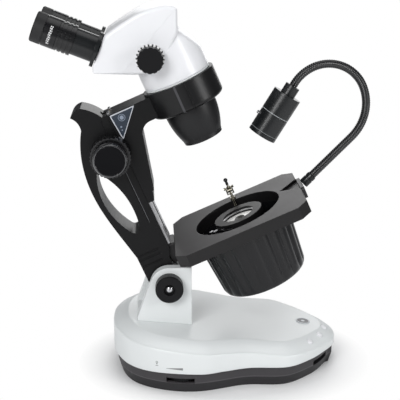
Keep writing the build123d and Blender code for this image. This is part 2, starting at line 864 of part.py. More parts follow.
lens_radius = 9.5
lens_offset = objective_spacing / 2
with BuildPart() as objective_lenses:
    with BuildSketch(level(cup_join - 3, optical_x)):
        Circle(30.5)
    extrude(amount=3)
    with BuildSketch(level(172, optical_x)):
        with Locations((0, lens_offset), (0, -lens_offset)):
            Circle(lens_radius)
    extrude(amount=cup_join - 172)
    with BuildSketch(level(171, optical_x)):
        with Locations((0, lens_offset), (0, -lens_offset)):
            Circle(lens_radius - 2.5)
    extrude(amount=50, mode=Mode.SUBTRACT)
save(objective_lenses, "objective_lenses")

shelf_z = 306.0
shelf_thickness = 3.0
rod_radius = 2.0
rod_x = 14.0
with BuildPart() as optics_frame:
    with BuildSketch(level(head_bottom, optical_x)):
        Circle(34)
        with Locations((0, lens_offset), (0, -lens_offset)):
            Circle(8.5, mode=Mode.SUBTRACT)
    extrude(amount=3)
    with BuildSketch(level(head_bottom + 3, optical_x)):
        with Locations((rod_x, 0), (-rod_x + 5, 0)):
            Circle(rod_radius)
    extrude(amount=shelf_z - head_bottom - 3)
    with BuildSketch(level(shelf_z, optical_x)):
        with Locations((-6, 0)):
            Rectangle(52, 70)
        with Locations((0, lens_offset + 4), (0, -lens_offset - 4)):
            Circle(7, mode=Mode.SUBTRACT)
    extrude(amount=shelf_thickness)
save(optics_frame, "optics_frame")

prism_size = 22.0
with BuildPart() as prisms:
    with BuildSketch(level(shelf_z + shelf_thickness, optical_x)):
        with Locations((0, lens_offset + 4), (0, -lens_offset - 4)):
            Rectangle(prism_size, prism_size)
    extrude(amount=18)
save(prisms, "prisms")


def zoom_carrier(height: float, name: str) -> None:
    """A plate with two lens cells that slides on the frame's rods."""
    with BuildPart() as carrier:
        with BuildSketch(level(height, optical_x)):
            with Locations((4, 0)):
                Rectangle(33, 16)
            with Locations((0, lens_offset), (0, -lens_offset)):
                Circle(9)
            with Locations((rod_x, 0), (-rod_x + 5, 0)):
                Circle(rod_radius + running_gap, mode=Mode.SUBTRACT)
            with Locations((0, lens_offset + 0.5), (0, -lens_offset - 0.5)):
                Circle(6.5, mode=Mode.SUBTRACT)
        extrude(amount=5)
    save(carrier, name)


zoom_carrier(258.0, "zoom_carrier_lower")
zoom_carrier(288.0, "zoom_carrier_upper")

zoom_start = head_half_width + zoom_scale_height + body_gap
zoom_end = zoom_start + zoom_knob_length
zoom_pocket = zoom_end - 4.0
with BuildPart() as zoom_shaft:
    add(cross_bar(zoom_x, zoom_z, zoom_shaft_radius, zoom_pocket, -zoom_pocket))
    add(cross_bar(zoom_x, zoom_z, 5.0, 8, -8))
save(zoom_shaft, "zoom_shaft")

with BuildPart() as zoom_knobs:
    for way in (-1, 1):
        with BuildSketch(side(way * zoom_start)):
            with Locations((zoom_x, zoom_z)):
                Circle(zoom_knob_radius)
                with PolarLocations(zoom_knob_radius + 1.2, zoom_knob_lobes):
                    Circle(2.1, mode=Mode.SUBTRACT)
        extrude(amount=-way * zoom_knob_length)
        bore_radius = zoom_shaft_radius + seat_gap
        bore = cross_bar(zoom_x, zoom_z, bore_radius, way * (zoom_start - 1), way * zoom_pocket)
        add(bore, mode=Mode.SUBTRACT)
save(zoom_knobs, "zoom_knobs")


def eyepiece_set(way: int, which: str) -> None:
    """An eyetube with its dioptre ring, eyepiece and eyecup, on one side of the head."""
    y = way * eye_offset
    flange_start = face_level + body_gap
    flange_end = flange_start + flange_thickness
    with BuildPart() as eyetube:
        add(barrel_ring(y, face_level - throat_depth, flange_start, throat_radius, throat_radius - 2))
        add(barrel_ring(y, flange_start, flange_end, flange_radius, throat_radius - 2))
        add(barrel_ring(y, flange_end, sleeve_end, sleeve_radius, eyetube_bore))
    save(eyetube, f"eyetube_{which}")
    with BuildPart() as dioptre:
        add(barrel_ring(y, dioptre_start, dioptre_end, dioptre_radius, sleeve_radius + running_gap))
        for step in (225.0, 230.5, 236.0):
            groove = barrel_ring(y, step, step + 2.0, dioptre_radius + 1, dioptre_radius - 1.0)
            add(groove, mode=Mode.SUBTRACT)
    save(dioptre, f"dioptre_ring_{which}")
    body_start = dioptre_end + body_gap
    barrel_radius = eyetube_bore - running_gap
    with BuildPart() as eyepiece:
        add(barrel_ring(y, flange_end + 8, body_start, barrel_radius, barrel_radius - 2.5))
        add(barrel_ring(y, body_start, eyecup_start, eyepiece_radius, barrel_radius - 2.5))
        groove_start = eyecup_start - 2.0
        groove = barrel_ring(y, groove_start, groove_start + 1.2, eyepiece_radius + 1, eyepiece_radius - 0.8)
        add(groove, mode=Mode.SUBTRACT)
        add(barrel_ring(y, eyecup_start - 3, eyecup_start, barrel_radius, 0))
    save(eyepiece, f"eyepiece_{which}")
    with BuildPart() as eyecup:
        add(barrel_ring(y, eyecup_start, eyecup_end, eyepiece_radius, 13.0))
        flat_faces = eyecup.faces().filter_by(GeomType.PLANE)
        chamfer(flat_faces.sort_by(Axis(barrel(0, y).origin, barrel(0, y).z_dir))[-1].edges(), 1.5)
    save(eyecup, f"eyecup_{which}")


eyepiece_set(-1, "near")
eyepiece_set(1, "far")

# ------------------------------------------------------------------------------ stage and well
stage_middle = stage_back + stage_length / 2
stage_front = stage_back + stage_length
with BuildPart() as stage_plate:
    with BuildSketch(level(stage_bottom, stage_middle)):
        Rectangle(stage_length, stage_width)
        chamfer(vertices(), stage_corner)
        with Locations((optical_x - stage_middle, 0)):
            Circle(well_radius, mode=Mode.SUBTRACT)
    extrude(amount=stage_thickness)
    with BuildSketch(level(stage_top - 5, optical_x, post_y)):
        Circle(2.0 + running_gap)
    extrude(amount=6, mode=Mode.SUBTRACT)
    # recess for the lamp holder's tongue
    with BuildSketch(level(stage_top - recess_depth, stage_front, lamp_y)):
        Polygon((-tongue_length, 0), (1, -holder_width / 2 + 1), (1, holder_width / 2 + 1), align=None)
    extrude(amount=recess_depth + 1, mode=Mode.SUBTRACT)
save(stage_plate, "stage_plate")

bracket_height = 18.0
bracket_half = 17.0
with BuildPart() as stage_bracket:
    with BuildSketch(side(bracket_half)):
        with BuildLine():
            Polyline(
                (arm_front, 49.5),
                (stage_back, 48.0),
                (stage_back, stage_bottom),
                (stage_back + 22, stage_bottom),
                (stage_back + 22, stage_bottom - 6),
                (arm_front + 0.3, 22),
                (18, 22),
                (16.0, 25),
                (16.0, 34),
                (arm_front, 45),
                close=True,
            )
        make_face()
    extrude(amount=2 * bracket_half)
save(stage_bracket, "stage_bracket")

floor_thickness = 3.0
with BuildPart() as lamp_housing:
    with BuildSketch(side(0)):
        with BuildLine():
            x = optical_x
            w = housing_wall
            Polyline(
                (x + well_radius, stage_bottom),
                (x + housing_top_radius, stage_bottom),
                (x + housing_bottom_radius + 0.7, housing_bottom + 5),
                (x + housing_bottom_radius - 2.3, housing_bottom),
                (x, housing_bottom),
                (x, housing_bottom + floor_thickness),
                (x + housing_bottom_radius - w, housing_bottom + floor_thickness),
                (x + well_radius, stage_bottom - 8),
                (x + well_radius, stage_bottom),
            )
        make_face()
    revolve(axis=upright_axis(optical_x))
save(lamp_housing, "lamp_housing")

moat_floor = 18.0
drum_top = iris_top - iris_height
with BuildPart() as lamp_well:
    with BuildSketch(side(0)):
        with BuildLine():
            x = optical_x
            Polyline(
                (x + reflector_radius, drum_top),
                (x + iris_radius - 1, drum_top),
                (x + iris_radius - 1, moat_floor),
                (x + well_radius - 0.6, moat_floor),
                (x + well_radius - 0.6, moat_floor - 3),
                (x + reflector_radius, moat_floor - 3),
                close=True,
            )
        make_face()
    revolve(axis=upright_axis(optical_x))
save(lamp_well, "lamp_well")

bowl_hole = 12.0
bowl_thickness = 1.6
bowl_outer = reflector_radius - seat_gap
bowl_inner = bowl_outer - bowl_thickness
bowl_foot = drum_top - sqrt(bowl_outer**2 - bowl_hole**2)
bowl_floor = drum_top - sqrt(bowl_inner**2 - bowl_hole**2)
with BuildPart() as reflector_bowl:
    with BuildSketch(side(0)):
        with BuildLine():
            x = optical_x
            low = drum_top - 0.8 * bowl_outer
            low_inner = drum_top - 0.8 * bowl_inner
            Line((x + bowl_inner, drum_top), (x + bowl_outer, drum_top))
            ThreePointArc(
                (x + bowl_outer, drum_top),
                (x + 0.6 * bowl_outer, low),
                (x + bowl_hole, bowl_foot),
            )
            Line((x + bowl_hole, bowl_foot), (x + bowl_hole, bowl_floor))
            ThreePointArc(
                (x + bowl_hole, bowl_floor),
                (x + 0.6 * bowl_inner, low_inner),
                (x + bowl_inner, drum_top),
            )
        make_face()
    revolve(axis=upright_axis(optical_x))
save(reflector_bowl, "reflector_bowl")

socket_top = housing_bottom + floor_thickness + 22.0
stop_z = 27.0
with BuildPart() as darkfield_lamp:
    with BuildSketch(level(housing_bottom + floor_thickness, optical_x)):
        Circle(24)
    extrude(amount=socket_top - housing_bottom - floor_thickness)
    with BuildSketch(level(socket_top, optical_x)):
        Circle(bowl_hole - 0.5)
    extrude(amount=bowl_floor - socket_top)
    with BuildSketch(level(bowl_floor, optical_x)):
        Circle(8)
    extrude(amount=3)
    # the stop that shades the middle of the beam, on its stem
    with BuildSketch(level(bowl_floor + 3, optical_x)):
        Circle(1.6)
    extrude(amount=stop_z - bowl_floor - 3)
    with BuildSketch(level(stop_z, optical_x)):
        Circle(stop_radius)
    extrude(amount=1.6)
save(darkfield_lamp, "darkfield_lamp")

cage_floor = 1.6
ring_gap = 0.25
ring_height = 2.6
with BuildPart() as iris_cage:
    with BuildSketch(level(drum_top, optical_x)):
        Circle(iris_radius)
        Circle(iris_hole + 2, mode=Mode.SUBTRACT)
    extrude(amount=cage_floor)
    with BuildSketch(level(drum_top + cage_floor, optical_x)):
        Circle(iris_radius)
        Circle(iris_radius - 1.8, mode=Mode.SUBTRACT)
    extrude(amount=iris_height - 2 * cage_floor)
    with BuildSketch(level(iris_top - cage_floor, optical_x)):
        Circle(iris_radius)
        Circle(iris_hole, mode=Mode.SUBTRACT)
    extrude(amount=cage_floor)
    # window in the wall that the lever sweeps through
    with BuildSketch(level(drum_top + cage_floor, optical_x)):
        with BuildLine():
            sweep_from = lever_angle - 42
            sweep_to = lever_angle + 42
            reach = iris_radius + 3
            first = (reach * cos(radians(sweep_from)), reach * sin(radians(sweep_from)))
            centre = (reach * cos(radians(lever_angle)), reach * sin(radians(lever_angle)))
            last = (reach * cos(radians(sweep_to)), reach * sin(radians(sweep_to)))
            Line((0, 0), first)
            ThreePointArc(first, centre, last)
            Line(last, (0, 0))
        make_face()
        Circle(iris_radius - 3, mode=Mode.SUBTRACT)
    extrude(amount=ring_height + 2 * ring_gap, mode=Mode.SUBTRACT)
save(iris_cage, "iris_cage")

ring_z = drum_top + cage_floor + ring_gap
with BuildPart() as iris_lever:
    with BuildSketch(level(ring_z, optical_x)):
        Circle(iris_radius - 1.8 - body_gap)
        Circle(iris_hole + 3, mode=Mode.SUBTRACT)
    extrude(amount=ring_height - 0.6)
    with BuildSketch(level(ring_z, optical_x)):
        with Locations(Location((0, 0), lever_angle)):
            with Locations((iris_radius - 4, 0)):
                Rectangle(lever_reach - iris_radius + 4, 4.5, align=(Align.MIN, Align.CENTER))
    extrude(amount=2.0)
    with BuildSketch(level(ring_z - 1, optical_x)):
        with PolarLocations(lever_reach, 1, start_angle=lever_angle):
            Circle(2.8)
    extrude(amount=5)
save(iris_lever, "iris_lever")

leaf_count = 8
leaf_z = ring_z + ring_height - 0.6 + ring_gap
with BuildPart() as iris_leaves:
    with BuildSketch(level(leaf_z, optical_x)):
        with PolarLocations((iris_hole + iris_radius) / 2 - 0.6, leaf_count):
            Rectangle(7.0, 16.0)
        Circle(iris_radius - 2.4, mode=Mode.INTERSECT)
    extrude(amount=iris_top - cage_floor - leaf_z)
save(iris_leaves, "iris_leaves")

# ------------------------------------------------------------------------------- stone holder
fork_drop = 5.0
ball_z = stage_top + post_height
with BuildPart() as stone_post:
    with BuildSketch(level(stage_top - 5, optical_x, post_y)):
        Circle(2.0)
    extrude(amount=5 + body_gap)
    with BuildSketch(level(stage_top + body_gap, optical_x, post_y)):
        Circle(4.0)
    extrude(amount=2.5)
    with BuildSketch(level(stage_top + body_gap + 2.5, optical_x, post_y)):
        Circle(1.8)
    extrude(amount=post_height - fork_drop - body_gap - 2.5)
    with BuildSketch(level(ball_z - fork_drop, optical_x, post_y)):
        with Locations((-4.2, 0), (4.2, 0)):
            Rectangle(1.8, 4)
    extrude(amount=fork_drop + 3)
    with BuildSketch(level(ball_z - fork_drop, optical_x, post_y)):
        Rectangle(10.2, 4)
    extrude(amount=0.9)
save(stone_post, "stone_post")

slope = radians(rod_slope)
pin_plane = Plane(
    origin=stand.from_local_coords(Vector(optical_x - 3.0, post_y, ball_z)),
    x_dir=(0, 1, 0),
    z_dir=stand.x_dir,
)
rod_tip = stand.from_local_coords(Vector(optical_x, post_y + cos(slope), ball_z + sin(slope)))
rod_foot = stand.from_local_coords(Vector(optical_x, post_y, ball_z))
rod_plane = Plane(origin=rod_foot, x_dir=stand.x_dir, z_dir=rod_tip - rod_foot)
jaw_length = 9.0
rod_up = 17.0
rod_down = 14.0
with BuildPart() as stone_rod:
    with BuildSketch(pin_plane):
        Circle(2.6)
    extrude(amount=6.0)
    with BuildSketch(rod_plane.offset(-rod_down)):
        Circle(1.2)
    extrude(amount=rod_down + rod_up)
    with Locations(rod_plane.offset(rod_up)):
        Sphere(2.6)
    with BuildSketch(rod_plane.offset(-rod_down)):
        Circle(1.6)
    extrude(amount=-2)
    with BuildSketch(rod_plane.offset(-rod_down - 2)):
        with Locations((1.1, 0), (-1.1, 0)):
            Rectangle(0.7, 2.0)
    extrude(amount=-jaw_length)
save(stone_rod, "stone_rod")

# --------------------------------------------------------------------------- gooseneck lamp
holder_face_plane = Plane(
    origin=stand.from_local_coords(Vector(stage_front, lamp_y, (stage_top + stage_bottom) / 2)),
    x_dir=(0, 1, 0),
    z_dir=stand.x_dir,
)
with BuildPart() as lamp_holder:
    with BuildSketch(holder_face_plane):
        RectangleRounded(holder_width + 4, stage_thickness, 4)
    extrude(amount=holder_thickness)
    # tongue in the stage's recess
    with BuildSketch(level(stage_top - recess_depth, stage_front, lamp_y)):
        Polygon((-tongue_length + 1, 0), (1, -holder_width / 2 + 2), (1, holder_width / 2 - 1), align=None)
    extrude(amount=1.5)
save(lamp_holder, "lamp_holder")


def route_point(start: tuple, angle: float, distance: float) -> tuple:
    """A point at a distance from another, in a direction, in the stand's side view."""
    return (
        start[0] + distance * cos(radians(angle)),
        start[1] + distance * sin(radians(angle)),
    )


def arc_points(start: tuple, angle: float, radius: float, turn: float) -> tuple:
    """The middle and end of an arc that starts in a direction and turns upwards."""
    centre = route_point(start, angle + 90, radius)
    middle = route_point(centre, angle - 90 + turn / 2, radius)
    end = route_point(centre, angle - 90 + turn, radius)
    return middle, end


tube_start = route_point(ferrule_start, lamp_heading, ferrule_length)
bend_from = route_point(tube_start, lamp_heading, bend_start)
bend_to = route_point(bend_from, lamp_heading, bend_length)
bend_middle = route_point(bend_from, lamp_heading, bend_length / 2)
straight_end = route_point(ferrule_start, lamp_heading, straight_length)
turns = (90 - lamp_heading, 90, lamp_turn)

with BuildPart() as gooseneck_lower:
    with BuildSketch(heading(*ferrule_start, lamp_heading)):
        Circle(ferrule_radius)
    extrude(amount=ferrule_length)
    with BuildSketch(heading(*tube_start, lamp_heading)):
        Circle(neck_tube_radius)
    extrude(amount=bend_start)
save(gooseneck_lower, "gooseneck_lower")

with BuildPart() as gooseneck_bend:
    with BuildSketch(heading(*bend_from, lamp_heading)):
        Circle(neck_tube_radius)
    extrude(amount=bend_length)
save(gooseneck_bend, "gooseneck_bend")

with BuildPart() as gooseneck_upper:
    with BuildLine(side(lamp_y)) as lamp_route:
        Line(bend_to, straight_end)
        here = straight_end
        way_on = lamp_heading
        for arc_radius, turn in zip(bend_radii, turns):
            middle, end = arc_points(here, way_on, arc_radius, turn)
            ThreePointArc(here, middle, end)
            here = end
            way_on += turn
        lamp_start = route_point(here, way_on, 4.0)
        Line(here, lamp_start)
    with BuildSketch(heading(*bend_to, lamp_heading)):
        Circle(neck_tube_radius)
    sweep(transition=Transition.ROUND)
save(gooseneck_upper, "gooseneck_upper")

lamp_angle = 180 + lamp_turn
shell_start = route_point(lamp_start, lamp_angle, lamp_neck_length)
lens_depth = 3.0
with BuildPart() as lamp_shell:
    with BuildSketch(heading(*lamp_start, lamp_angle)):
        Circle(lamp_neck_radius)
    extrude(amount=lamp_neck_length)
    with BuildSketch(heading(*shell_start, lamp_angle)):
        Circle(lamp_radius)
    extrude(amount=lamp_length)
    with BuildSketch(heading(*route_point(shell_start, lamp_angle, 4.0), lamp_angle)):
        Circle(lamp_radius - lamp_wall)
    extrude(amount=lamp_length, mode=Mode.SUBTRACT)
    for share in (0.48, 0.91):
        with BuildSketch(heading(*route_point(shell_start, lamp_angle, share * lamp_length), lamp_angle)):
            Circle(lamp_radius + 1)
            Circle(lamp_radius - 0.7, mode=Mode.SUBTRACT)
        extrude(amount=1.0, mode=Mode.SUBTRACT)
    button_base = route_point(shell_start, lamp_angle, 0.62 * lamp_length)
    with BuildSketch(heading(*button_base, lamp_angle - 90)):
        Circle(button_radius + body_gap)
    extrude(amount=lamp_radius + 2, mode=Mode.SUBTRACT)
save(lamp_shell, "lamp_shell")

lens_start = route_point(shell_start, lamp_angle, lamp_length - lens_depth - 1.5)
with BuildPart() as lamp_lens:
    with BuildSketch(heading(*lens_start, lamp_angle)):
        Circle(lamp_radius - lamp_wall - seat_gap)
    extrude(amount=lens_depth)
save(lamp_lens, "lamp_lens")

with BuildPart() as lamp_core:
    with BuildSketch(heading(*route_point(shell_start, lamp_angle, 4.0), lamp_angle)):
        Circle(lamp_radius - lamp_wall - seat_gap)
    extrude(amount=24)
    with BuildSketch(heading(*route_point(shell_start, lamp_angle, 28.0), lamp_angle)):
        Circle(6.0)
    extrude(amount=12)
save(lamp_core, "lamp_core")

with BuildPart() as lamp_switch:
    seat = route_point(button_base, lamp_angle - 90, 6.0 + 1.6)
    with BuildSketch(heading(*seat, lamp_angle - 90)):
        Circle(button_radius)
    extrude(amount=lamp_radius + button_rise - 7.6)
save(lamp_switch, "lamp_switch")
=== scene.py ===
"""Looks for an inclinable stereo zoom microscope with a lit stage and a gooseneck lamp.

The CAD frame gives every piece its place. This script paints the pieces, and stands finer surfaces
in for the ones whose shape the CAD only outlines: the moulded base cover, the sculpted head, the
fluted lamp housing and the ribbed gooseneck. Lengths in this file are millimetres until they are
handed to Blender, which works in metres.
"""

import logging
import math
from dataclasses import dataclass
from enum import Enum
from typing import Callable, Sequence

import bpy
import numpy as np
from mathutils import Matrix, Vector

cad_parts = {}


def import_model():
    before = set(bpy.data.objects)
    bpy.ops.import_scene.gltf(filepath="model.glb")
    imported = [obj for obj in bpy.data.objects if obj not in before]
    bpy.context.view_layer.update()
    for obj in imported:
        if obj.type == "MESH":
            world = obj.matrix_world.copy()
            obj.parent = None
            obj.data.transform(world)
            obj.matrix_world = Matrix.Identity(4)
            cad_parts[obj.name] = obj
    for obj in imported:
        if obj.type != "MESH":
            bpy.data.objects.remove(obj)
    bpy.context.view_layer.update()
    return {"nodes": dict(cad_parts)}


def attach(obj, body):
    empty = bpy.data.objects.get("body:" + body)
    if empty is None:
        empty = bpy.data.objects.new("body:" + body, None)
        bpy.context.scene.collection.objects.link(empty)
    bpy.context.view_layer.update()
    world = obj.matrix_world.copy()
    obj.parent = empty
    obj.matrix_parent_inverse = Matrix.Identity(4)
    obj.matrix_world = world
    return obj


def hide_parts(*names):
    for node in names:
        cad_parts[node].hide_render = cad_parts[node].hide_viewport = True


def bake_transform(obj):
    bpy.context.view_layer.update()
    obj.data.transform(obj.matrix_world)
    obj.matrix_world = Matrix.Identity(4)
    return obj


logging.basicConfig(level=logging.INFO, format="%(message)s")
log = logging.getLogger("scene")

MM = 0.001
LEAN = math.radians(23.5)
STAND_ORIGIN = np.array([-75.0, 0.0, 117.0])
STAND_X = np.array([math.cos(LEAN), 0.0, math.sin(LEAN)])
STAND_Z = np.array([-math.sin(LEAN), 0.0, math.cos(LEAN)])
ACROSS = np.array([0.0, 1.0, 0.0])
OPTICAL_X = 118.5
LAMP_Y = 12.0
ZOOM_PLACE = (100.0, 281.5)
AXLE_PLACE = (1.2, 2.8)
BASE_SLOPE = math.radians(5.6)

Outline = Sequence[tuple[float, float]]
Surface = tuple[np.ndarray, list]


# ------------------------------------------------------------------------------------ geometry
def stand(points: np.ndarray) -> np.ndarray:
    """Turn points of the leaning stand frame into the object's frame.

    Args:
        points: (n, 3) array of x along the stage, y, and z along the arm, in millimetres.

    Returns:
        (n, 3) array in the object's frame, in millimetres.
    """
    p = np.atleast_2d(points)
    return STAND_ORIGIN + p[:, :1] * STAND_X + p[:, 1:2] * ACROSS + p[:, 2:3] * STAND_Z


def stand_point(x: float, y: float, z: float) -> np.ndarray:
    """Turn one point of the leaning stand frame into the object's frame.

    Args:
        x: Distance along the stage, in millimetres.
        y: Distance across, in millimetres.
        z: Distance along the arm, in millimetres.

    Returns:
        The point in the object's frame, in millimetres.
    """
    return stand(np.array([[x, y, z]]))[0]


def unit(vector: Sequence[float]) -> np.ndarray:
    """Scale a vector to length one.

    Args:
        vector: Any non-zero vector.

    Returns:
        The unit vector.
    """
    v = np.asarray(vector, float)
    return v / np.linalg.norm(v)


def ring_faces(rings: int, around: int) -> list[list[int]]:
    """Quads between successive rings of points.

    Args:
        rings: Number of rings.
        around: Points in each ring.

    Returns:
        Lists of point numbers, facing outward where rings run anticlockwise upward.
    """
    ring, place = np.meshgrid(np.arange(rings - 1), np.arange(around), indexing="ij")
    low, high = ring * around, (ring + 1) * around
    onward = (place + 1) % around
    quads = np.stack([low + place, low + onward, high + onward, high + place], -1)
    return quads.reshape(-1, 4).tolist()


def capped_faces(rings: int, around: int) -> list[list[int]]:
    """Quads between successive rings, with the first and last rings filled in.

    Args:
        rings: Number of rings.
        around: Points in each ring.

    Returns:
        Lists of point numbers.
    """
    last = (rings - 1) * around
    caps = [list(range(around))[::-1], list(range(last, last + around))]
    return ring_faces(rings, around) + caps


def make_object(
    name: str,
    points: np.ndarray,
    faces: Sequence[Sequence[int]],
    materials: Sequence[bpy.types.Material],
    slots: np.ndarray | None = None,
    sharp: float = 32.0,
) -> bpy.types.Object:
    """Make a mesh object from points in millimetres.

    Args:
        name: Object name.
        points: (n, 3) array in the object's frame, in millimetres.
        faces: Lists of point numbers.
        materials: Materials of the mesh.
        slots: Material number of each face, or None for the first material all over.
        sharp: Angle in degrees above which an edge stays sharp.

    Returns:
        The new object.
    """
    mesh = bpy.data.meshes.new(name)
    mesh.from_pydata((points * MM).tolist(), [], [list(map(int, f)) for f in faces])
    for material in materials:
        mesh.materials.append(material)
    mesh.polygons.foreach_set("use_smooth", np.ones(len(mesh.polygons), bool))
    if slots is not None:
        mesh.polygons.foreach_set("material_index", np.asarray(slots, np.int32))
    mesh.validate()
    mesh.update()
    mesh.set_sharp_from_angle(angle=math.radians(sharp))
    obj = bpy.data.objects.new(name, mesh)
    bpy.context.scene.collection.objects.link(obj)
    log.info("made %s: %d faces", name, len(mesh.polygons))
    return obj


def lathe(
    profile: np.ndarray,
    origin: np.ndarray,
    axis: np.ndarray,
    across: np.ndarray,
    around: int = 96,
    ripple: Callable[[np.ndarray, np.ndarray], np.ndarray] | None = None,
) -> Surface:
    """Turn a profile round an axis into a closed surface.

    The profile is a list of (radius, height) stations. Each becomes a ring of points; the radius
    may ripple with the angle. The first and last rings are closed with flat caps, and a cap of
    almost no radius is harmless.

    Args:
        profile: (n, 2) array of radius and height, in millimetres, from low to high.
        origin: A point on the axis.
        axis: Unit vector along the axis, towards growing height.
        across: Unit vector square to the axis, where the angle is zero.
        around: Points round each ring.
        ripple: Function of (radius, angle) arrays that gives the rippled radius.

    Returns:
        Points and faces.
    """
    angle = np.linspace(0, 2 * np.pi, around, endpoint=False)
    radius, theta = np.meshgrid(profile[:, 0], angle, indexing="ij")
    height = np.repeat(profile[:, 1][:, None], around, 1)
    if ripple is not None:
        radius = ripple(radius, theta)
    side = np.cross(axis, across)
    points = (
        origin
        + (radius * np.cos(theta)).reshape(-1, 1) * across
        + (radius * np.sin(theta)).reshape(-1, 1) * side
        + height.reshape(-1, 1) * axis
    )
    return points, capped_faces(len(profile), around)


def smooth_loop(points: np.ndarray, steps: int) -> np.ndarray:
    """Run a smooth closed curve through points.

    Between two points the curve is a cubic whose end slopes are half the chord between each
    point's neighbours, which is the Catmull-Rom rule.

    Args:
        points: (n, 2) array of points in order.
        steps: Curve points between one given point and the next.

    Returns:
        (n * steps, 2) array of curve points.
    """
    before, after = np.roll(points, 1, 0), np.roll(points, -1, 0)
    slope = 0.5 * (after - before)
    t = np.linspace(0, 1, steps, endpoint=False)[None, :, None]
    a, b = points[:, None, :], after[:, None, :]
    sa, sb = slope[:, None, :], np.roll(slope, -1, 0)[:, None, :]
    curve = (
        (2 * t**3 - 3 * t**2 + 1) * a
        + (t**3 - 2 * t**2 + t) * sa
        + (-2 * t**3 + 3 * t**2) * b
        + (t**3 - t**2) * sb
    )
    return curve.reshape(-1, 2)


def even_loop(points: np.ndarray, count: int) -> np.ndarray:
    """Place points evenly along a closed polyline.

    Args:
        points: (n, 2) array of corners in order.
        count: Number of points to place.

    Returns:
        (count, 2) array of points.
    """
    closed = np.vstack([points, points[:1]])
    length = np.concatenate([[0], np.cumsum(np.linalg.norm(np.diff(closed, axis=0), axis=1))])
    at = np.linspace(0, length[-1], count, endpoint=False)
    return np.stack([np.interp(at, length, closed[:, k]) for k in (0, 1)], -1)


def rounded_corners(points: np.ndarray, radii: Sequence[float], steps: int = 8) -> np.ndarray:
    """Round each corner of a closed outline with an arc-like curve.

    Each corner is replaced by a quadratic curve that leaves one side and joins the next at the
    given distance from the corner.

    Args:
        points: (n, 2) array of corners in order.
        radii: Distance from each corner to the ends of its curve, in millimetres.
        steps: Points on each curve.

    Returns:
        (n * steps, 2) array of outline points.
    """
    out = []
    t = np.linspace(0, 1, steps)[:, None]
    for k, corner in enumerate(points):
        before = points[k - 1] - corner
        after = points[(k + 1) % len(points)] - corner
        reach_a = min(radii[k], 0.48 * np.linalg.norm(before))
        reach_b = min(radii[k], 0.48 * np.linalg.norm(after))
        start = corner + unit(before) * reach_a
        end = corner + unit(after) * reach_b
        out.append((1 - t) ** 2 * start + 2 * t * (1 - t) * corner + t**2 * end)
    return np.vstack(out)


def inward_normals(loop: np.ndarray) -> np.ndarray:
    """Unit normals of a closed outline, pointing to its inside.

    Args:
        loop: (n, 2) array of outline points.

    Returns:
        (n, 2) array of normals.
    """
    tangent = np.roll(loop, -1, 0) - np.roll(loop, 1, 0)
    tangent /= np.maximum(np.linalg.norm(tangent, axis=1, keepdims=True), 1e-9)
    normal = np.stack([-tangent[:, 1], tangent[:, 0]], -1)
    area = 0.5 * np.sum(loop[:, 0] * np.roll(loop[:, 1], -1) - np.roll(loop[:, 0], -1) * loop[:, 1])
    return normal if area > 0 else -normal


def join(parts: Sequence[Surface]) -> Surface:
    """Put several surfaces into one list of points and faces.

    Args:
        parts: Pairs of points and faces.

    Returns:
        The joined points and faces.
    """
    points, faces, start = [], [], 0
    for part_points, part_faces in parts:
        points.append(part_points)
        faces += [[int(v) + start for v in f] for f in part_faces]
        start += len(part_points)
    return np.vstack(points), faces


# ------------------------------------------------------------------------------------- shaders
class Effect(Enum):
    """Surface effects that have a shared node group each."""

    GRAIN = "moulded grain"
    HANDLING = "handling marks"
    BRUSHED = "turning marks"


def new_group(name: str, inputs: dict[str, float], outputs: dict[str, str]) -> bpy.types.NodeTree:
    """Make an empty shader node group.

    Args:
        name: Group name.
        inputs: Input names with their default values.
        outputs: Output names with their socket types.

    Returns:
        The node tree, with its input and output nodes.
    """
    tree = bpy.data.node_groups.new(name, "ShaderNodeTree")
    for label, value in inputs.items():
        socket = tree.interface.new_socket(label, in_out="INPUT", socket_type="NodeSocketFloat")
        socket.default_value = value
    for label, kind in outputs.items():
        tree.interface.new_socket(label, in_out="OUTPUT", socket_type=kind)
    tree.nodes.new("NodeGroupInput")
    tree.nodes.new("NodeGroupOutput")
    return tree


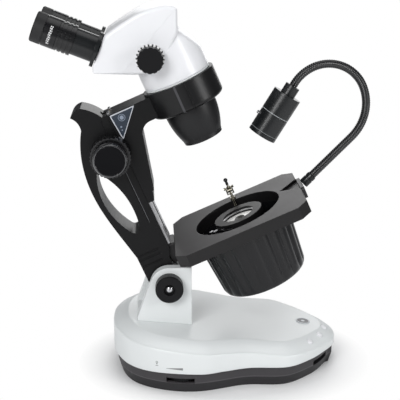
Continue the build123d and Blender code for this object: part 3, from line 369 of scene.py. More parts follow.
@dataclass(frozen=True)
class Field:
    """A number that a shader works out at each point, and that adds up like any number.

    Attributes:
        tree: Node tree that works it out.
        socket: Output socket that carries it.
    """

    tree: bpy.types.NodeTree
    socket: bpy.types.NodeSocket

    def node(self, operation: str, *others: "Field | float", clamp: bool = False) -> "Field":
        """Feed this number and others into a math node.

        Args:
            operation: Math operation.
            *others: The node's other inputs, in order.
            clamp: Whether the result is held between nought and one.

        Returns:
            The node's result.
        """
        node = self.tree.nodes.new("ShaderNodeMath")
        node.operation = operation
        node.use_clamp = clamp
        for k, value in enumerate((self, *others)):
            if isinstance(value, Field):
                self.tree.links.new(value.socket, node.inputs[k])
            else:
                node.inputs[k].default_value = value
        return Field(self.tree, node.outputs[0])

    def __add__(self, other: "Field | float") -> "Field":
        """The sum."""
        return self.node("ADD", other)

    def __sub__(self, other: "Field | float") -> "Field":
        """The difference."""
        return self.node("SUBTRACT", other)

    def __rsub__(self, other: float) -> "Field":
        """The difference from a plain number."""
        return self.node("MULTIPLY_ADD", -1.0, other)

    def __mul__(self, other: "Field | float") -> "Field":
        """The product."""
        return self.node("MULTIPLY", other)

    def __truediv__(self, other: float) -> "Field":
        """The quotient."""
        return self.node("DIVIDE", other)

    def __abs__(self) -> "Field":
        """The number without its sign."""
        return self.node("ABSOLUTE")

    def larger(self, other: "Field") -> "Field":
        """The larger of two numbers."""
        return self.node("MAXIMUM", other)

    def fraction(self) -> "Field":
        """What is left above the whole number below."""
        return self.node("FRACT")

    def mask(self, soft: float) -> "Field":
        """A mask that is one where the number is above nought and nought where it is below.

        Args:
            soft: Width of the fade.

        Returns:
            The number over the width, plus a half, held between nought and one.
        """
        return (self / soft).node("ADD", 0.5, clamp=True)

    def between(self, low: float, high: float, soft: float = 0.15) -> "Field":
        """A mask that is one between two values and fades to nought just outside.

        Args:
            low: Lower edge.
            high: Upper edge.
            soft: Width of the fade.

        Returns:
            The mask of half the span less the distance from its middle.
        """
        return ((high - low) / 2 - abs(self - (low + high) / 2)).mask(soft)


def noise(
    tree: bpy.types.NodeTree, vector: bpy.types.NodeSocket, scale: Field | float, detail: float
) -> Field:
    """Add a noise texture on given coordinates.

    Args:
        tree: Node tree.
        vector: Socket with the coordinates.
        scale: Noise scale.
        detail: Octaves of detail.

    Returns:
        The noise.
    """
    node = tree.nodes.new("ShaderNodeTexNoise")
    node.inputs["Detail"].default_value = detail
    tree.links.new(vector, node.inputs["Vector"])
    if isinstance(scale, Field):
        tree.links.new(scale.socket, node.inputs["Scale"])
    else:
        node.inputs["Scale"].default_value = scale
    return Field(tree, node.outputs["Fac"])


def stand_axes(tree: bpy.types.NodeTree) -> tuple[Field, Field, Field]:
    """The place in the stand frame, in millimetres, from Object coordinates.

    Each coordinate is the dot product of an axis with the place less the stand's origin.

    Args:
        tree: Node tree.

    Returns:
        x, y and z of the stand frame.
    """
    place = tree.nodes.new("ShaderNodeTexCoord").outputs["Object"]
    shift = tree.nodes.new("ShaderNodeVectorMath")
    shift.operation = "SUBTRACT"
    shift.inputs[1].default_value = tuple(STAND_ORIGIN * MM)
    tree.links.new(place, shift.inputs[0])
    fields = []
    for axis in (STAND_X, ACROSS, STAND_Z):
        dot = tree.nodes.new("ShaderNodeVectorMath")
        dot.operation = "DOT_PRODUCT"
        dot.inputs[1].default_value = tuple(axis / MM)
        tree.links.new(shift.outputs[0], dot.inputs[0])
        fields.append(Field(tree, dot.outputs["Value"]))
    return tuple(fields)


def object_axes(tree: bpy.types.NodeTree) -> tuple[Field, Field, Field]:
    """The place in the object's frame, in millimetres, from Object coordinates.

    Args:
        tree: Node tree.

    Returns:
        X, Y and Z of the object's frame.
    """
    place = tree.nodes.new("ShaderNodeTexCoord").outputs["Object"]
    split = tree.nodes.new("ShaderNodeSeparateXYZ")
    tree.links.new(place, split.inputs[0])
    return tuple(Field(tree, split.outputs[k]) * (1 / MM) for k in range(3))


def distance(u: Field, v: Field, centre: tuple[float, float], flatten: float = 1.0) -> Field:
    """How far a point of a plane is from a centre.

    Args:
        u: First coordinate.
        v: Second coordinate.
        centre: The centre.
        flatten: How much the second coordinate counts.

    Returns:
        The square root of the sum of the squares.
    """
    across, up = u - centre[0], (v - centre[1]) * flatten
    return (across * across + up * up).node("SQRT")


def disc(u: Field, v: Field, centre: tuple[float, float], radius: float, soft: float = 0.25) -> Field:
    """A round mask round a point of a plane.

    Args:
        u: First coordinate.
        v: Second coordinate.
        centre: Centre of the disc.
        radius: Radius of the disc.
        soft: Width of the fade.

    Returns:
        The mask of the radius less the distance from the centre.
    """
    return (radius - distance(u, v, centre)).mask(soft)


class Effects:
    """The shared node groups, built once."""

    def __init__(self) -> None:
        """Build the groups."""
        self.groups = {
            Effect.GRAIN: self._grain(),
            Effect.HANDLING: self._handling(),
            Effect.BRUSHED: self._brushed(),
        }

    def _grain(self) -> bpy.types.NodeTree:
        """Fine pebbled grain of moulded or powder-coated surfaces.

        Returns:
            A group whose Height mixes two sizes of noise.
        """
        tree = new_group(Effect.GRAIN.value, {"Scale": 1800.0}, {"Height": "NodeSocketFloat"})
        source, sink = tree.nodes["Group Input"], tree.nodes["Group Output"]
        place = tree.nodes.new("ShaderNodeTexCoord").outputs["Object"]
        fine = noise(tree, place, Field(tree, source.outputs["Scale"]), 1.0)
        coarse = noise(tree, place, 320.0, 2.0)
        tree.links.new((fine * 0.75 + coarse * 0.25).socket, sink.inputs["Height"])
        return tree

    def _handling(self) -> bpy.types.NodeTree:
        """Slow changes of gloss and tone, as hands and cloths leave.

        Returns:
            A group with a Roughness value and a Tone value near one.
        """
        tree = new_group(
            Effect.HANDLING.value,
            {"Roughness": 0.4, "Spread": 0.08, "Tone spread": 0.03},
            {"Roughness": "NodeSocketFloat", "Tone": "NodeSocketFloat"},
        )
        source, sink = tree.nodes["Group Input"], tree.nodes["Group Output"]
        place = tree.nodes.new("ShaderNodeTexCoord").outputs["Object"]
        base, spread, tone_spread = (Field(tree, source.outputs[k]) for k in range(3))
        rough = (noise(tree, place, 14.0, 4.0) - 0.5) * (spread * 2.0) + base
        tone = (noise(tree, place, 6.0, 3.0) - 0.5) * tone_spread + 1.0
        tree.links.new(rough.socket, sink.inputs["Roughness"])
        tree.links.new(tone.socket, sink.inputs["Tone"])
        return tree

    def _brushed(self) -> bpy.types.NodeTree:
        """Fine parallel scratches along the stand's z, as grinding leaves.

        Returns:
            A group whose Height is noise stretched along the stand's z.
        """
        tree = new_group(Effect.BRUSHED.value, {"Scale": 1.0}, {"Height": "NodeSocketFloat"})
        source, sink = tree.nodes["Group Input"], tree.nodes["Group Output"]
        x, y, z = stand_axes(tree)
        scale = Field(tree, source.outputs["Scale"])
        joined = tree.nodes.new("ShaderNodeCombineXYZ")
        for k, stretched in enumerate((x * scale, y * scale, z * 0.02)):
            tree.links.new(stretched.socket, joined.inputs[k])
        tree.links.new(noise(tree, joined.outputs[0], 3.0, 2.0).socket, sink.inputs["Height"])
        return tree


@dataclass(frozen=True)
class Finish:
    """One surface finish.

    Attributes:
        name: Material name.
        color: Linear base colour.
        roughness: Mean roughness.
        metallic: Metallic value.
        grain: Height of the moulded grain, in millimetres; none at nought.
        grain_scale: Scale of the fine grain.
        scratches: Height of parallel scratches, in millimetres; none at nought.
        coat: Coat weight.
        spread: How much the roughness wanders.
        edge: Radius by which edges look rounded, in millimetres.
        specular: Specular level.
        print_and_highlight_color: Colour of marks printed on the surface, and of painted highlights and
            painted sheen where the marks stand for light.
        marks: Function that builds the mask of the printed marks or of the painted light, or None.
        relief: Function that builds a height field in millimetres, or None.
        glow: Strength of a faint light of its own, which stands for light caught in a bowl.
    """

    name: str
    color: tuple[float, float, float]
    roughness: float = 0.4
    metallic: float = 0.0
    grain: float = 0.0
    grain_scale: float = 1800.0
    scratches: float = 0.0
    coat: float = 0.0
    spread: float = 0.06
    edge: float = 0.5
    specular: float = 0.5
    print_and_highlight_color: tuple[float, float, float] = (0.03, 0.03, 0.03)
    marks: Callable[[bpy.types.NodeTree], Field] | None = None
    relief: Callable[[bpy.types.NodeTree], Field] | None = None
    glow: float = 0.0

    def build(self, effects: Effects) -> bpy.types.Material:
        """Build the material.

        Args:
            effects: The shared node groups.

        Returns:
            The material.
        """
        material = bpy.data.materials.new(self.name)
        material.use_nodes = True
        tree = material.node_tree
        shader = tree.nodes["Principled BSDF"]
        shader.inputs["Metallic"].default_value = self.metallic
        shader.inputs["Coat Weight"].default_value = self.coat
        shader.inputs["Specular IOR Level"].default_value = self.specular
        shader.inputs["Emission Color"].default_value = (*self.color, 1.0)
        shader.inputs["Emission Strength"].default_value = self.glow
        handling = tree.nodes.new("ShaderNodeGroup")
        handling.node_tree = effects.groups[Effect.HANDLING]
        handling.inputs["Roughness"].default_value = self.roughness
        handling.inputs["Spread"].default_value = self.spread
        tree.links.new(handling.outputs["Roughness"], shader.inputs["Roughness"])
        tint = tree.nodes.new("ShaderNodeVectorMath")
        tint.operation = "SCALE"
        tint.inputs[0].default_value = self.color
        tree.links.new(handling.outputs["Tone"], tint.inputs["Scale"])
        color = tint.outputs[0]
        if self.marks is not None:
            mix = tree.nodes.new("ShaderNodeMix")
            mix.data_type = "RGBA"
            tree.links.new(self.marks(tree).socket, mix.inputs["Factor"])
            tree.links.new(color, mix.inputs["A"])
            mix.inputs["B"].default_value = (*self.print_and_highlight_color, 1.0)
            color = mix.outputs["Result"]
        tree.links.new(color, shader.inputs["Base Color"])
        normal = None
        if self.edge > 0:
            bevel = tree.nodes.new("ShaderNodeBevel")
            bevel.samples = 4
            bevel.inputs["Radius"].default_value = self.edge * MM
            normal = bevel.outputs["Normal"]
        layers = []
        if self.grain > 0:
            grain = tree.nodes.new("ShaderNodeGroup")
            grain.node_tree = effects.groups[Effect.GRAIN]
            grain.inputs["Scale"].default_value = self.grain_scale
            layers.append((grain.outputs["Height"], self.grain))
        if self.scratches > 0:
            brushed = tree.nodes.new("ShaderNodeGroup")
            brushed.node_tree = effects.groups[Effect.BRUSHED]
            layers.append((brushed.outputs["Height"], self.scratches))
        if self.relief is not None:
            layers.append((self.relief(tree).socket, 1.0))
        for height, amount in layers:
            bump = tree.nodes.new("ShaderNodeBump")
            bump.inputs["Distance"].default_value = amount * MM
            tree.links.new(height, bump.inputs["Height"])
            if normal is not None:
                tree.links.new(normal, bump.inputs["Normal"])
            normal = bump.outputs["Normal"]
        if normal is not None:
            tree.links.new(normal, shader.inputs["Normal"])
        return material


@dataclass(frozen=True)
class Glass:
    """Clear or coated optical glass.

    Attributes:
        name: Material name.
        color: Linear tint.
        roughness: Surface roughness.
    """

    name: str
    color: tuple[float, float, float]
    roughness: float = 0.03

    def build(self, effects: Effects) -> bpy.types.Material:
        """Build the material.

        Args:
            effects: The shared node groups, which glass doesn't use.

        Returns:
            The material.
        """
        material = bpy.data.materials.new(self.name)
        material.use_nodes = True
        shader = material.node_tree.nodes["Principled BSDF"]
        shader.inputs["Base Color"].default_value = (*self.color, 1.0)
        shader.inputs["Roughness"].default_value = self.roughness
        shader.inputs["Metallic"].default_value = 0.0
        shader.inputs["Transmission Weight"].default_value = 0.9
        shader.inputs["Coat Weight"].default_value = 0.5
        return material


def cover_marks(tree: bpy.types.NodeTree) -> Field:
    """Printed signs on the near wall of the base: a lamp sign and a rising wedge.

    The wedge is where the distance from its line is under a thickness that grows along it.

    Args:
        tree: Node tree of the material.

    Returns:
        The mask of the signs, at three quarters of full strength.
    """
    x, y, z = object_axes(tree)
    wedge_start, wedge_end, wedge_line = -81.0, -60.0, 34.2
    share = (x - wedge_start) / (wedge_end - wedge_start)
    thickness = share * 1.4 + 0.2
    wedge = (thickness - abs(z - wedge_line)).mask(0.3) * x.between(wedge_start, wedge_end, 0.2)
    bulb_x, bulb_z = -92.5, 41.5
    bulb = disc(x, z, (bulb_x, bulb_z), 1.5, 0.4) - disc(x, z, (bulb_x, bulb_z), 0.8, 0.4)
    stem = x.between(bulb_x - 0.7, bulb_x + 0.7, 0.2) * z.between(38.4, 40.2, 0.2)
    foot = x.between(bulb_x - 1.7, bulb_x + 1.7, 0.2) * z.between(36.4, 37.2, 0.2)
    near_wall = y.between(-130.0, -84.0, 0.5)
    return wedge.larger(bulb).larger(stem.larger(foot)) * near_wall * 0.75


def eyepiece_marks(tree: bpy.types.NodeTree) -> Field:
    """A row of short pale strokes round the eyepieces, where a power would be marked.

    The eyetubes rise at half a right angle in the stand frame, so the distance along them is the
    difference of z and x over the square root of two, and the height square to them is the sum
    over the same. Strokes and the gaps in them repeat with the fraction of these.

    Args:
        tree: Node tree of the material.

    Returns:
        The mask of the strokes.
    """
    x, _, z = stand_axes(tree)
    along = (z - x) / math.sqrt(2)
    up = (z + x) / math.sqrt(2) - 254.7
    band = along.between(247.8, 251.2, 0.3) * up.between(-13.5, 9.5, 0.3)
    stroke = (up * 0.38).fraction().between(0.18, 0.78, 0.12)
    gap = (along * 0.5 + up * 0.13).fraction().between(0.1, 0.72, 0.15)
    return band * stroke * gap


def zoom_scale_marks(tree: bpy.types.NodeTree) -> Field:
    """Dark dashes round the zoom's pale scale ring.

    The dashes repeat with the fraction of the angle round the zoom shaft, times their number.

    Args:
        tree: Node tree of the material.

    Returns:
        The mask of the dashes.
    """
    x, _, z = stand_axes(tree)
    angle = (z - ZOOM_PLACE[1]).node("ARCTAN2", x - ZOOM_PLACE[0])
    dashes = 22
    return (angle * (dashes / (2 * math.pi))).fraction().between(0.22, 0.62, 0.1)


def arm_relief(tree: bpy.types.NodeTree) -> Field:
    """Height of the arm's sides: a groove behind its front edge, and ribs round its foot.

    Args:
        tree: Node tree of the material.

    Returns:
        The height in millimetres.
    """
    x, _, z = stand_axes(tree)
    groove = x.between(10.4, 12.0, 0.5) * z.between(88.0, 232.0, 2.0)
    low, middle, high = (z.between(foot, foot + 1.8, 0.6) for foot in (34.2, 43.4, 49.6))
    ribs = low.larger(middle).larger(high) * x.between(-30.0, 8.0, 2.0)
    return groove.larger(ribs) * -0.8


def arm_groove_highlight(tree: bpy.types.NodeTree) -> Field:
    """A painted highlight along the edge of the groove on the arm's sides.

    Args:
        tree: Node tree of the material.

    Returns:
        The mask of the painted highlight.
    """
    x, _, z = stand_axes(tree)
    return x.between(11.5, 12.1, 0.3) * z.between(90.0, 166.0, 6.0)


def collar_lines(tree: bpy.types.NodeTree) -> Field:
    """A paler strip on the near side of the collar, where its halves meet.

    Args:
        tree: Node tree of the material.

    Returns:
        The mask of the strip.
    """
    x, y, _ = stand_axes(tree)
    return x.between(110.4, 113.2, 0.5) * y.between(-60.0, -30.0, 1.0)


def collar_relief(tree: bpy.types.NodeTree) -> Field:
    """Height of the collar's near side: a groove where its clamping half begins.

    Args:
        tree: Node tree of the material.

    Returns:
        The height in millimetres.
    """
    x, y, _ = stand_axes(tree)
    return x.between(124.2, 126.0, 0.6) * y.between(-60.0, -30.0, 1.0) * -0.9


def tray_band_highlights(tree: bpy.types.NodeTree) -> Field:
    """Painted light on the tray: its upper band painted a little paler than its foot, and a painted
    highlight on the step between them.

    Args:
        tree: Node tree of the material.

    Returns:
        The mask of both.
    """
    _, _, z = object_axes(tree)
    step = 14.6
    return (z.between(step, 30.0, 0.5) * 0.45).larger(z.between(12.9, step, 0.5) * 0.9)


def stage_top_sheen(tree: bpy.types.NodeTree) -> Field:
    """Painted sheen: the stage's upper face painted paler than its sides, as reflected light, with the mask
    pushed higher at the lip of its well.

    Args:
        tree: Node tree of the material.

    Returns:
        The mask, which is stronger at the lip.
    """
    x, y, z = stand_axes(tree)
    lip = distance(x, y, (OPTICAL_X, 0.0)).between(57.5, 59.2, 0.3)
    return z.between(45.5, 48.0, 0.25) * (lip * 0.8 + 1.0)


def shell_seam_highlights(tree: bpy.types.NodeTree) -> Field:
    """A thin painted highlight along the seam round the middle of the lamp's shell, and a fainter one at
    its rim.

    The distance along the shell is the dot product of its heading with the place less its back.

    Args:
        tree: Node tree of the material.

    Returns:
        The mask of both.
    """
    x, _, z = stand_axes(tree)
    back_x, back_z, heading = 238.14, 160.87, math.radians(215.0)
    along = (x - back_x) * math.cos(heading) + (z - back_z) * math.sin(heading)
    return along.between(28.82, 29.67, 0.2).larger(along.between(55.36, 56.16, 0.2) * 0.5)


def stop_disc(tree: bpy.types.NodeTree) -> Field:
    """The black centre stop over the dark-field lamp.

    Args:
        tree: Node tree of the material.

    Returns:
        The mask of the stop.
    """
    x, y, z = stand_axes(tree)
    return disc(x, y, (OPTICAL_X, 0.0), 9.0, 0.3) * z.between(24.0, 40.0, 0.3)


class Palette:
    """Every material of the microscope, built once."""

    def __init__(self, effects: Effects) -> None:
        """Build the materials.

        Args:
            effects: The shared node groups.
        """
        head_white, base_white = (0.775, 0.78, 0.80), (0.735, 0.76, 0.76)
        black = (0.0055, 0.0055, 0.006)
        finishes = [
            Finish("white shell", head_white, 0.30, coat=0.1, edge=0.5),
            Finish(
                "white cover", base_white, 0.34, coat=0.1, grain=0.002, edge=0.6, marks=cover_marks,
                print_and_highlight_color=(0.05, 0.05, 0.05),
            ),
            Finish("white casting", base_white, 0.36, coat=0.1, grain=0.003, edge=1.2),
            # The arm's marks are a painted highlight along the edge of its groove.
            Finish(
                "black casting", black, 0.36, grain=0.006, grain_scale=1500.0, edge=1.0, specular=0.2,
                marks=arm_groove_highlight, print_and_highlight_color=(0.16, 0.16, 0.17), relief=arm_relief,
            ),
            Finish("black paint", black, 0.36, grain=0.004, edge=1.0, specular=0.2),
            Finish(
                "collar black", black, 0.34, grain=0.004, edge=1.2, specular=0.32, marks=collar_lines,
                print_and_highlight_color=(0.05, 0.05, 0.055), relief=collar_relief,
            ),
            Finish("cup black", (0.009, 0.009, 0.010), 0.42, grain=0.003, edge=1.0, specular=0.35),
            # The stage's marks are painted sheen: its upper face paler than its sides.
            Finish(
                "stage black", (0.007, 0.0065, 0.007), 0.42, grain=0.005, edge=0.9, specular=0.40,
                marks=stage_top_sheen, print_and_highlight_color=(0.032, 0.030, 0.031),
            ),
            Finish("dark casting", (0.022, 0.021, 0.023), 0.40, grain=0.006, edge=1.0),
            Finish("black plastic", (0.006, 0.006, 0.007), 0.36, grain=0.004, edge=0.6, specular=0.2),
            # The tray's marks are painted light: a paler upper band and a highlight on its step.
            Finish(
                "tray black", (0.018, 0.017, 0.019), 0.5, grain=0.005, edge=0.8, specular=0.4,
                marks=tray_band_highlights, print_and_highlight_color=(0.075, 0.070, 0.075),
            ),
            Finish("glossy black", (0.006, 0.006, 0.007), 0.18, edge=0.6, specular=0.4),
            Finish("gooseneck black", (0.004, 0.004, 0.005), 0.2, edge=0.0, specular=0.7),
            Finish("knob rubber", (0.006, 0.006, 0.007), 0.25, edge=0.4, specular=0.5),
            Finish("cap face", (0.003, 0.003, 0.004), 0.3, edge=0.2, specular=0.1),
            Finish("cap rim", (0.02, 0.02, 0.022), 0.15, edge=0.2, specular=1.0, coat=0.6),
            Finish("anodised", (0.008, 0.009, 0.010), 0.27, edge=0.5, specular=0.4),
            # The lamp shell's marks are painted highlights along its seams.
            Finish(
                "lamp black", (0.006, 0.007, 0.008), 0.30, edge=0.5, specular=0.5, marks=shell_seam_highlights,
                print_and_highlight_color=(0.35, 0.37, 0.38),
            ),
            Finish(
                "eyepiece black", (0.006, 0.006, 0.007), 0.24, edge=0.5, specular=0.4, marks=eyepiece_marks,
                print_and_highlight_color=(0.95, 0.95, 0.95),
            ),
            Finish("knurled black", (0.006, 0.006, 0.007), 0.24, edge=0.4, specular=0.5),
            Finish("soft rubber", (0.012, 0.012, 0.013), 0.5, grain=0.004, edge=0.8, specular=0.4),
            Finish("ground steel", (0.40, 0.40, 0.41), 0.30, metallic=1.0, scratches=0.01, edge=0.3),
            Finish("bright metal", (0.62, 0.62, 0.64), 0.24, metallic=1.0, edge=0.3),
            Finish("dull metal", (0.30, 0.28, 0.22), 0.30, metallic=1.0, edge=0.2),
            Finish("brass", (0.62, 0.45, 0.18), 0.25, metallic=1.0, scratches=0.006, edge=0.2),
            # Painted light: the reflector bowl glows faintly, standing for light caught in it.
            Finish("reflector", (0.90, 0.90, 0.89), 0.25, edge=0.3, glow=0.22),
            Finish(
                "pale scale", (0.78, 0.78, 0.78), 0.4, edge=0.2, marks=zoom_scale_marks,
                print_and_highlight_color=(0.02, 0.02, 0.02),
            ),
            Finish("badge blue", (0.008, 0.018, 0.035), 0.3, coat=0.2, edge=0.2),
            Finish("badge border", (0.50, 0.52, 0.56), 0.35, edge=0.2),
            Finish("badge emblem", (0.22, 0.26, 0.33), 0.35, edge=0.1),
            Finish("board green", (0.02, 0.12, 0.05), 0.5, edge=0.2),
            Finish(
                "lamp ivory", (0.70, 0.67, 0.58), 0.4, edge=0.3, marks=stop_disc,
                print_and_highlight_color=(0.006, 0.006, 0.006),
            ),
            Finish("inlay dark", (0.045, 0.048, 0.055), 0.3, edge=0.2),
            Finish("inlay", (0.50, 0.52, 0.54), 0.3, edge=0.2),
        ]
        self.by_name = {f.name: f.build(effects) for f in finishes}
        for glass in (Glass("lens", (0.55, 0.62, 0.80)), Glass("lamp glass", (0.92, 0.94, 0.96), 0.08)):
            self.by_name[glass.name] = glass.build(effects)

    def __getitem__(self, name: str) -> bpy.types.Material:
        """Look a material up.

        Args:
            name: Material name.

        Returns:
            The material.
        """
        return self.by_name[name]


CAD_PAINT: dict[str, tuple[str, ...]] = {
    "white casting": ("tilt_bracket", "mount_ring"),
    "black casting": ("arm",),
    "black paint": ("carriage", "lamp_well"),
    "collar black": ("collar",),
    "cup black": ("objective_cup",),
    "stage black": ("stage_plate", "stage_bracket", "iris_cage"),
    "dark casting": ("lamp_holder",),
    "black plastic": (
        "power_inlet",
        "side_dimmer_wheel",
        "nose_dimmer_wheel",
        "lock_knob_near",
        "lock_knob_far",
        "collar_screw",
        "zoom_knobs",
    ),
    "tray black": ("base_tray",),
    "knob rubber": ("focus_knobs",),
    "anodised": ("eyetube_near", "eyetube_far", "iris_leaves", "optics_frame"),
    "lamp black": ("lamp_shell",),
    "eyepiece black": ("eyepiece_near", "eyepiece_far"),
    "knurled black": ("dioptre_ring_near", "dioptre_ring_far"),
    "soft rubber": ("eyecup_near", "eyecup_far", "rubber_feet"),
    "ground steel": ("guide_rail", "tilt_axle", "focus_shaft", "zoom_shaft", "bottom_plate"),
    "bright metal": ("iris_lever", "lamp_switch"),
    "dull metal": ("stone_post", "stone_rod"),
    "brass": ("focus_rack", "zoom_carrier_lower", "zoom_carrier_upper"),
    "reflector": ("reflector_bowl",),
    "board green": ("driver_board",),
    "lamp ivory": ("darkfield_lamp", "lamp_core"),
    "lens": ("objective_lenses", "prisms"),
    "lamp glass": ("lamp_lens",),
}


# ---------------------------------------------------------------------------------- the pieces
@dataclass
class CadPaint:
    """Paints the CAD nodes that are shown as they are.

    Attributes:
        palette: Materials.
        nodes: The CAD objects by name.
    """

    palette: Palette
    nodes: dict[str, bpy.types.Object]

    def build(self) -> None:
        """Give every CAD node its material and smooth shading with sharp creases."""
        for finish, names in CAD_PAINT.items():
            for name in names:
                mesh = self.nodes[name].data
                mesh.materials.clear()
                mesh.materials.append(self.palette[finish])
                mesh.polygons.foreach_set("use_smooth", np.ones(len(mesh.polygons), bool))
                mesh.set_sharp_from_angle(angle=math.radians(30))
                log.info("painted %s: %s", name, finish)


@dataclass
class BaseCover:
    """The moulded white cover of the base: an upright wall, a soft shoulder and a sloping flat.

    Attributes:
        palette: Materials.
        stations: Half of the outline, from the back to the nose.
        foot: Height of the lower edge.
        crease: Height of the shoulder's outer edge above the origin.
        rise: Height of the shoulder.
        inset: Width of the shoulder, measured inward.
        slope: Fall of the top towards the nose, over its length.
    """

    palette: Palette
    stations: Sequence[tuple[float, float]] = (
        (-149.0, 0.0),
        (-145.0, 36.0),
        (-127.0, 74.0),
        (-95.0, 97.0),
        (-39.0, 107.5),
        (-7.0, 100.0),
        (26.0, 91.5),
        (74.0, 91.5),
        (106.0, 71.0),
        (129.0, 46.0),
        (144.0, 24.0),
        (149.0, 0.0),
    )
    foot: float = 27.0
    crease: float = 50.2
    rise: float = 11.0
    inset: float = 20.0
    slope: float = math.tan(BASE_SLOPE)

    def surface(self) -> Surface:
        """Build the cover's surface.

        Rings run from a lip inside the lower edge, up the wall, round the crease with a small
        radius and over the shoulder to the flat. The shoulder rises by the share of the way in
        plus a tenth of the sine of that share of half a turn. Three plain rings close the shell
        inside.

        Returns:
            Points and faces.
        """
        half = np.array(self.stations)
        other = half[-2:0:-1] * np.array([1.0, -1.0])
        loop = even_loop(smooth_loop(np.vstack([half, other]), 24), 360)[::-1]
        normal = inward_normals(loop)
        rings = []

        def ring(inset: float, height: Callable[[np.ndarray], np.ndarray]) -> None:
            """Add the outline, drawn in by the inset, at a height that depends on the place."""
            plan = loop + normal * inset
            rings.append(np.column_stack([plan, height(plan)]))

        def top(extra: float) -> Callable[[np.ndarray], np.ndarray]:
            """The height of the crease, and an extra height, over a place."""
            return lambda plan: self.crease + extra - self.slope * plan[:, 0]

        def level(rise: float) -> Callable[[np.ndarray], np.ndarray]:
            """An even height over the foot."""
            return lambda plan: np.full(len(plan), self.foot + rise)

        face, lip, soft, wall_foot = 0.3, 0.8, 2.6, self.foot + 1.2
        for inset, rise in ((5.0, 0.2), (face + lip, 0.05), (face + 0.3 * lip, 0.4), (face, 1.2)):
            ring(inset, level(rise))
        for share in (0.35, 0.7, 1.0):
            ring(face, lambda plan, s=share: wall_foot + s * (top(-soft)(plan) - wall_foot))
        for angle in np.linspace(0.15, 1.0, 6) * (np.pi / 2):
            ring(face + soft * 0.8 * (1 - math.cos(angle)), top(-soft + soft * 1.15 * math.sin(angle)))
        start_in, start_up = face + soft * 0.8, soft * 0.15
        for share in np.linspace(0.06, 1.0, 12):
            inset = start_in + (self.inset - start_in) * share
            up = start_up + (self.rise - 0.2 - start_up) * (share + 0.10 * math.sin(share * math.pi))
            ring(inset, top(up))
        ring(self.inset + 0.8, top(self.rise - 0.1))
        ring(self.inset + 2.4, top(self.rise - 0.1))
        inner_from = len(rings)
        ring(self.inset + 3.5, top(self.rise - 2.8))
        ring(6.5, top(-3.0))
        ring(5.6, level(3.0))
        points = np.vstack(rings)
        around = len(loop)
        outer = ring_faces(inner_from, around)
        skip = inner_from * around
        inner = [[k + skip for k in face] for face in ring_faces(len(rings) - inner_from, around)]
        last = (len(rings) - 1) * around
        onward = [(k + 1) % around for k in range(around)]
        seam = [[k, onward[k], last + onward[k], last + k] for k in range(around)]
        top_cap = list(range(skip - around, skip))[::-1]
        under_cap = list(range(skip, skip + around))
        walls = [face[::-1] for face in outer + inner]
        return points, walls + [top_cap, under_cap] + seam

    def build(self) -> bpy.types.Object:
        """Make the cover.

        Returns:
            The cover's object.
        """
        points, faces = self.surface()
        obj = make_object("cover_shell", points, faces, [self.palette["white cover"]], sharp=62.0)
        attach(obj, "base")
        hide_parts("base_cover")
        return obj


